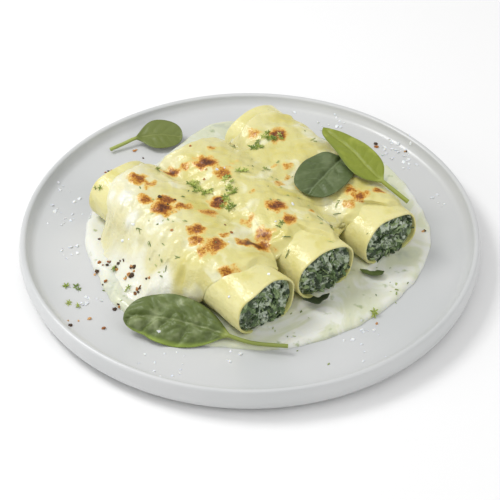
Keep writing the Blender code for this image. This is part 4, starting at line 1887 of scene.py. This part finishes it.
@dataclass(frozen=True)
class Strew:
    """Bits of one kind, laid as one piece, with their least and largest size in millimetres.

    Lift is how high they heap up, in millimetres, and tilt how far they lean, in radians.
    """

    name: str
    kind: BitKind
    finish: Finish
    least: float
    largest: float
    tilt: float
    seed: int
    lift: float = 0.0
    variants: int = 4

    def lay(self, points: np.ndarray, lies: np.ndarray) -> bpy.types.Object:
        """Lay one bit on each point.

        Args:
            points: where, in metres.
            lies: the direction that each bit lies on.

        Returns:
            The piece, a plain mesh.
        """
        shapes = bpy.data.collections.new(f"{self.name}_shapes")
        for variant in range(self.variants):
            shape = bit_mesh(self.kind, variant)
            shapes.objects.link(bpy.data.objects.new(shape.name, shape))
        carrier_mesh = bpy.data.meshes.new(f"{self.name}_points")
        carrier_mesh.from_pydata(points.tolist(), [], [])
        layer = carrier_mesh.attributes.new(Mask.LIE.value, "FLOAT_VECTOR", "POINT")
        layer.data.foreach_set("vector", lies.astype(np.float32).reshape(-1))
        carrier = bpy.data.objects.new(f"{self.name}_points", carrier_mesh)
        bpy.context.scene.collection.objects.link(carrier)
        tree = StrewnTree.build()
        modifier = carrier.modifiers.new(tree.name, "NODES")
        modifier.node_group = tree
        values = {
            "Bits": shapes, "Finish": self.finish.material(), "Least size": self.least,
            "Largest size": self.largest, "Tilt": self.tilt, "Seed": self.seed,
        }
        for socket in tree.interface.items_tree:
            if socket.in_out == "INPUT" and socket.name in values:
                modifier[socket.identifier] = values[socket.name]
        graph = bpy.context.evaluated_depsgraph_get()
        mesh = bpy.data.meshes.new_from_object(carrier.evaluated_get(graph), depsgraph=graph)
        mesh.name = self.name
        bpy.data.objects.remove(carrier, do_unlink=True)
        for shape in list(shapes.objects):
            bpy.data.objects.remove(shape, do_unlink=True)
        bpy.data.collections.remove(shapes)
        piece = bpy.data.objects.new(self.name, mesh)
        bpy.context.scene.collection.objects.link(piece)
        return settle(piece, self.finish)


@dataclass(frozen=True)
class Spot:
    """Where bits were dropped: a middle on the plate's axes, a radius and how many."""

    x: float
    y: float
    radius: float
    count: int


def food_spot(across: float, along: float, radius: float, count: int) -> Spot:
    """A spot given on the food's own axes."""
    x, y, _ = from_food(np.array(across), np.array(along), np.array(0.0))
    return Spot(float(x), float(y), radius, count)


class Landing:
    """The finished dish, as a surface that bits fall on from above.

    They start at the sky's height, in metres, and slide off a face whose normal rises less
    than the foothold.
    """

    sky = 0.2
    foothold = 0.2

    def __init__(self, pieces: Sequence[bpy.types.Object]) -> None:
        """Take the pieces' faces.

        Args:
            pieces: what bits may land on.
        """
        points: list[Vector] = []
        faces: list[list[int]] = []
        for piece in pieces:
            start = len(points)
            points += [vertex.co.copy() for vertex in piece.data.vertices]
            faces += [[start + corner for corner in face.vertices] for face in piece.data.polygons]
        self.surface = BVHTree.FromPolygons(points, faces)

    def below(self, x: float, y: float) -> tuple[Vector | None, Vector | None]:
        """The place right under this point of the sky, in metres, and the direction it faces."""
        place, normal, _, _ = self.surface.ray_cast(Vector((x, y, self.sky)), Vector((0, 0, -1)))
        return place, normal

    def drop(
        self, spots: Sequence[Spot], seed: int, lift: float = 0.0, cover: Landing | None = None,
    ) -> tuple[np.ndarray, np.ndarray]:
        """Drop bits round each spot, thickest at its middle.

        Args:
            spots: where.
            seed: fixes where each bit lands.
            lift: how high a heap of bits stands, in millimetres.
            cover: what lies on top and hides the bits under it.

        Returns:
            The bits' places in metres, and the directions that they lie on.
        """
        rng = np.random.default_rng(seed)
        places, lies = [], []
        for spot in spots:
            for _ in range(spot.count):
                reach = spot.radius * math.sqrt(rng.uniform()) * rng.uniform(0.6, 1.0)
                turn = rng.uniform(0, 2 * math.pi)
                x = (spot.x + reach * math.cos(turn)) * MM
                y = (spot.y + reach * math.sin(turn)) * MM
                place, normal = self.below(x, y)
                if cover and cover.below(x, y)[0] is not None:
                    continue
                if place is not None and normal.z > self.foothold:
                    places.append(place + normal * (lift * rng.uniform() * MM))
                    lies.append(normal)
        return np.array(places), np.array(lies)


HERB = StrewnBits("chopped_parsley", "fresh_leaf", "#71893a", "#98a84a", "#bfca70", 0.5, 0.15)
HERB_FLECK = StrewnBits("dried_herb", "fresh_leaf", "#6f7e49", "#8f9d60", "#aeb97a", 0.6)
PEPPER = StrewnBits("crushed_pepper", "dark_leaf", "#463426", "#a4662f", "#cfa067", 0.6)
SALT = StrewnBits("sea_salt", "plate", "#d9dcdf", "#e3e6e8", "#f0f2f3", 0.35, 0.3)
SPINACH_SHRED = StrewnBits(
    "spinach_shred", "spinach_filling", "#3a4a32", "#61784c", "#98aa7a", 0.3, 0.05
)
WHITE_CURD = StrewnBits("white_curd", "spinach_filling", "#98a48e", "#b5c0a9", "#ccd4c3", 0.35, 0.2)


class Garnish:
    """Everything strewn over the finished dish."""

    parsley = (
        food_spot(41, 33, 4.5, 8), food_spot(44, 29, 3, 4), food_spot(34, 34, 3, 3),
        food_spot(31, 31, 4, 6), food_spot(28, 33, 2.5, 3), food_spot(7, 15, 3.5, 5),
        food_spot(-7, 7, 4, 7), food_spot(-4, 11, 3, 3), food_spot(-4, 16, 3, 4),
        food_spot(-18, 28, 4.5, 8), food_spot(-20, 22, 3.5, 6), food_spot(-17, 17, 3.5, 5),
        food_spot(-17, 0, 4, 6), food_spot(-13, 4, 3.5, 4), food_spot(-6, -33, 2.5, 2),
        food_spot(-78, 20, 3, 3), food_spot(-83, 2, 2.5, 2), food_spot(-60, 62, 2, 2),
        Spot(-101, -41, 2, 2), Spot(-95, -43, 2, 2), Spot(-98, -55, 2, 2), Spot(-94, -58, 2, 2),
        Spot(67, -65, 1, 2), food_spot(-29, 50, 3, 2), food_spot(22, 12, 2.5, 2),
    )
    slivers = (
        food_spot(33, -36, 1, 2), food_spot(30, -39, 1, 1), food_spot(17, -40, 0, 1),
        food_spot(18, -49, 0, 1), food_spot(8, -59, 0, 1), food_spot(27, -50, 1, 1),
        food_spot(-7, -34, 1, 1), food_spot(-62, -14, 1, 2), food_spot(-67, -11, 1, 1),
        food_spot(-64, 8, 2, 2), food_spot(-63, 20, 3, 2), food_spot(60, 10, 8, 2),
        food_spot(20, 50, 12, 3), food_spot(-10, -45, 6, 2),
    )
    flecks = (
        food_spot(-65, 5, 26, 12), food_spot(-40, 10, 40, 11), food_spot(5, 0, 45, 13),
        food_spot(45, 5, 40, 11), food_spot(20, -30, 30, 8), Spot(30, -80, 30, 11),
        Spot(75, -40, 26, 12), Spot(-60, -50, 26, 7), Spot(85, 10, 20, 6),
    )
    crumbs = (
        food_spot(-79, 30, 4, 5), food_spot(-87, 28, 3, 3), food_spot(-76, 20, 3, 6),
        food_spot(-77, 9, 4, 9), food_spot(-75, -4, 2, 2), food_spot(-81, -3, 3, 5),
        food_spot(-70, 48, 1, 1), food_spot(-89, 17, 2, 2), Spot(-72, -60, 2, 3),
        Spot(-87, -68, 1, 1), Spot(-95, -71, 4, 3), Spot(-78, -75, 1, 1), Spot(-69, 80, 2, 2),
        Spot(-65, 72, 1, 1), Spot(-84, 59, 4, 6), Spot(76, 85, 3, 5), Spot(93, 77, 2, 2),
        Spot(36, 98, 2, 2), food_spot(-44, -14, 25, 3), food_spot(0, 20, 35, 3),
        food_spot(-40, 22, 8, 4), Spot(68, -71, 1, 1), Spot(100, 2, 3, 2),
    )
    salt = (
        Spot(-104, 20, 16, 16), Spot(-100, -15, 10, 8), Spot(-108, 45, 8, 6),
        Spot(48, 106, 14, 16), Spot(25, 112, 8, 4), Spot(88, 79, 12, 24), Spot(96, 66, 7, 9),
        Spot(-45, -103, 18, 16), Spot(-10, -97, 8, 4), Spot(62, -88, 18, 14),
        Spot(110, 33, 8, 6), Spot(-88, -52, 9, 10), food_spot(-64, 26, 8, 3),
        food_spot(10, 0, 50, 5), Spot(0, -60, 60, 6),
    )

    def build(self, dish: Landing, food: Landing, leaves: Landing) -> None:
        """Strew the dish, with salt last.

        Args:
            dish: all of it, which the salt falls on.
            food: the dish before its leaves were laid on.
            leaves: the leaves alone, which hide the bits under them.
        """
        strews = (
            (Strew("parsley", BitKind.FRILL, HERB, 2.6, 5.2, 0.4, 71, lift=0.6), self.parsley),
            (Strew("herb_slivers", BitKind.SLIVER, HERB_FLECK, 3.5, 5.5, 0.15, 72), self.slivers),
            (Strew("herb_flecks", BitKind.SHRED, HERB_FLECK, 1.0, 2.4, 0.1, 73), self.flecks),
            (Strew("pepper_crumbs", BitKind.CRUMB, PEPPER, 1.1, 2.6, 0.7, 74), self.crumbs),
        )
        for strew, spots in strews:
            strew.lay(*food.drop(spots, strew.seed, strew.lift, leaves))
        salt = Strew("salt_flakes", BitKind.CHIP, SALT, 0.9, 2.5, 0.5, 75)
        salt.lay(*dish.drop(self.salt, salt.seed))


@dataclass(frozen=True)
class ChoppedFaces:
    """Shreds of spinach and bits of white cheese that stand out of the filling's faces.

    They reach from the middle to the rim, as shares of a face's radius.  A plug's mesh ends
    with its two poles, the middle points of its faces.
    """

    shreds: int = 64
    curds: int = 14
    middle: float = 0.04
    rim: float = 0.9
    poles: int = 2
    seed: int = 81

    def build(self, plugs: Sequence[bpy.types.Object]) -> None:
        """Set the bits into both faces of every plug.

        Args:
            plugs: the fillings, in the tubes' order.
        """
        rng = np.random.default_rng(self.seed)
        picked: dict[BitKind, list[tuple[np.ndarray, np.ndarray]]] = {
            BitKind.SHRED: [], BitKind.CURD: [],
        }
        for plug, tube in zip(plugs, TUBES):
            shape = FillingPlug(tube)
            rings = int(shape.face_rings * self.rim)
            chance = np.repeat(np.linspace(self.middle, self.rim, rings), shape.columns)
            chance /= chance.sum()
            near = np.arange(len(chance))
            last = len(plug.data.vertices) - self.poles - 1
            for face in (near, last - near):
                for kind, number in ((BitKind.SHRED, self.shreds), (BitKind.CURD, self.curds)):
                    chosen = rng.choice(face, number, replace=False, p=chance)
                    picked[kind] += [
                        (plug.data.vertices[index].co[:], plug.data.vertices[index].normal[:])
                        for index in chosen.tolist()
                    ]
        strews = (
            Strew("spinach_shreds", BitKind.SHRED, SPINACH_SHRED, 3.6, 6.6, 0.9, 82),
            Strew("cheese_curds", BitKind.CURD, WHITE_CURD, 1.4, 3.2, 0.6, 83),
        )
        for strew in strews:
            places, lies = zip(*picked[strew.kind])
            strew.lay(np.array(places), np.array(lies))


# ---------------------------------------------------------------------------
# Studio
# ---------------------------------------------------------------------------


@dataclass(frozen=True)
class SoftLight:
    """A square soft light aimed at the dish."""

    name: str
    toward: tuple[float, float, float]
    distance: float
    size: float
    power: float

    def build(self) -> None:
        """Hang the light."""
        lamp = bpy.data.lights.new(self.name, "AREA")
        lamp.shape = "SQUARE"
        lamp.size = self.size
        lamp.energy = self.power
        holder = bpy.data.objects.new(self.name, lamp)
        direction = Vector(self.toward).normalized()
        holder.location = direction * self.distance
        holder.rotation_euler = direction.to_track_quat("Z", "Y").to_euler()
        bpy.context.scene.collection.objects.link(holder)


@dataclass(frozen=True)
class Studio:
    """The pale floor, the soft lights and the camera."""

    elevation: float = 41.2
    distance: float = 1.0
    target: tuple[float, float, float] = (0.0, -0.0023, 0.003)
    lens: float = 126.1
    ambient: float = 0.55
    floor_reach: float = 2.0
    lights: tuple[SoftLight, ...] = (
        SoftLight("key_light", (-0.6, 0.22, 0.9), 1.3, 0.45, 8.0),
        SoftLight("overhead", (0.1, -0.2, 1.0), 1.5, 1.4, 3.5),
        SoftLight("left_fill", (-0.95, -0.3, 0.4), 1.4, 0.7, 3.5),
        SoftLight("front_fill", (0.8, -0.62, 0.62), 1.6, 0.9, 4.5),
    )

    def build(self) -> None:
        """Set up the studio."""
        for light in self.lights:
            light.build()
        world = bpy.data.worlds.new("studio_air")
        world.use_nodes = True
        air = world.node_tree.nodes["Background"]
        air.inputs["Color"].default_value = (1.0, 1.0, 1.0, 1.0)
        air.inputs["Strength"].default_value = self.ambient
        bpy.context.scene.world = world
        bpy.context.scene.view_settings.view_transform = "Standard"

        sheet = bpy.data.meshes.new("floor")
        corners = ((-1, -1), (1, -1), (1, 1), (-1, 1))
        sheet.from_pydata(
            [(x * self.floor_reach, y * self.floor_reach, 0) for x, y in corners], [],
            [range(len(corners))],
        )
        sheet.materials.append(StudioPaper().material())
        floor = bpy.data.objects.new("floor", sheet)
        bpy.context.scene.collection.objects.link(floor)
        floor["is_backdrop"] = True

        lens = bpy.data.cameras.new("camera")
        lens.lens = self.lens
        camera = bpy.data.objects.new("camera", lens)
        tip = math.radians(self.elevation)
        away = Vector((0.0, -math.cos(tip), math.sin(tip))) * self.distance
        camera.location = Vector(self.target) + away
        camera.rotation_euler = Euler((math.pi / 2 - tip, 0.0, 0.0))
        bpy.context.scene.collection.objects.link(camera)
        bpy.context.scene.camera = camera


def main() -> None:
    """Build the dish from the plate upwards, then the studio."""
    logging.basicConfig(level=logging.INFO, format="%(message)s")
    Studio().build()
    Plate().build()
    SaucePool().build()
    for tube in TUBES:
        PastaRoll(tube).build()
    plugs = [FillingPlug(tube).build() for tube in TUBES]
    CheeseTopping().build()
    food = Landing(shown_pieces())
    leaves = Landing([leaf.build() for leaf in LEAVES])
    dish = Landing(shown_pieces())
    ChoppedFaces().build(plugs)
    Garnish().build(dish, food, leaves)


if __name__ == "__main__":
    main()
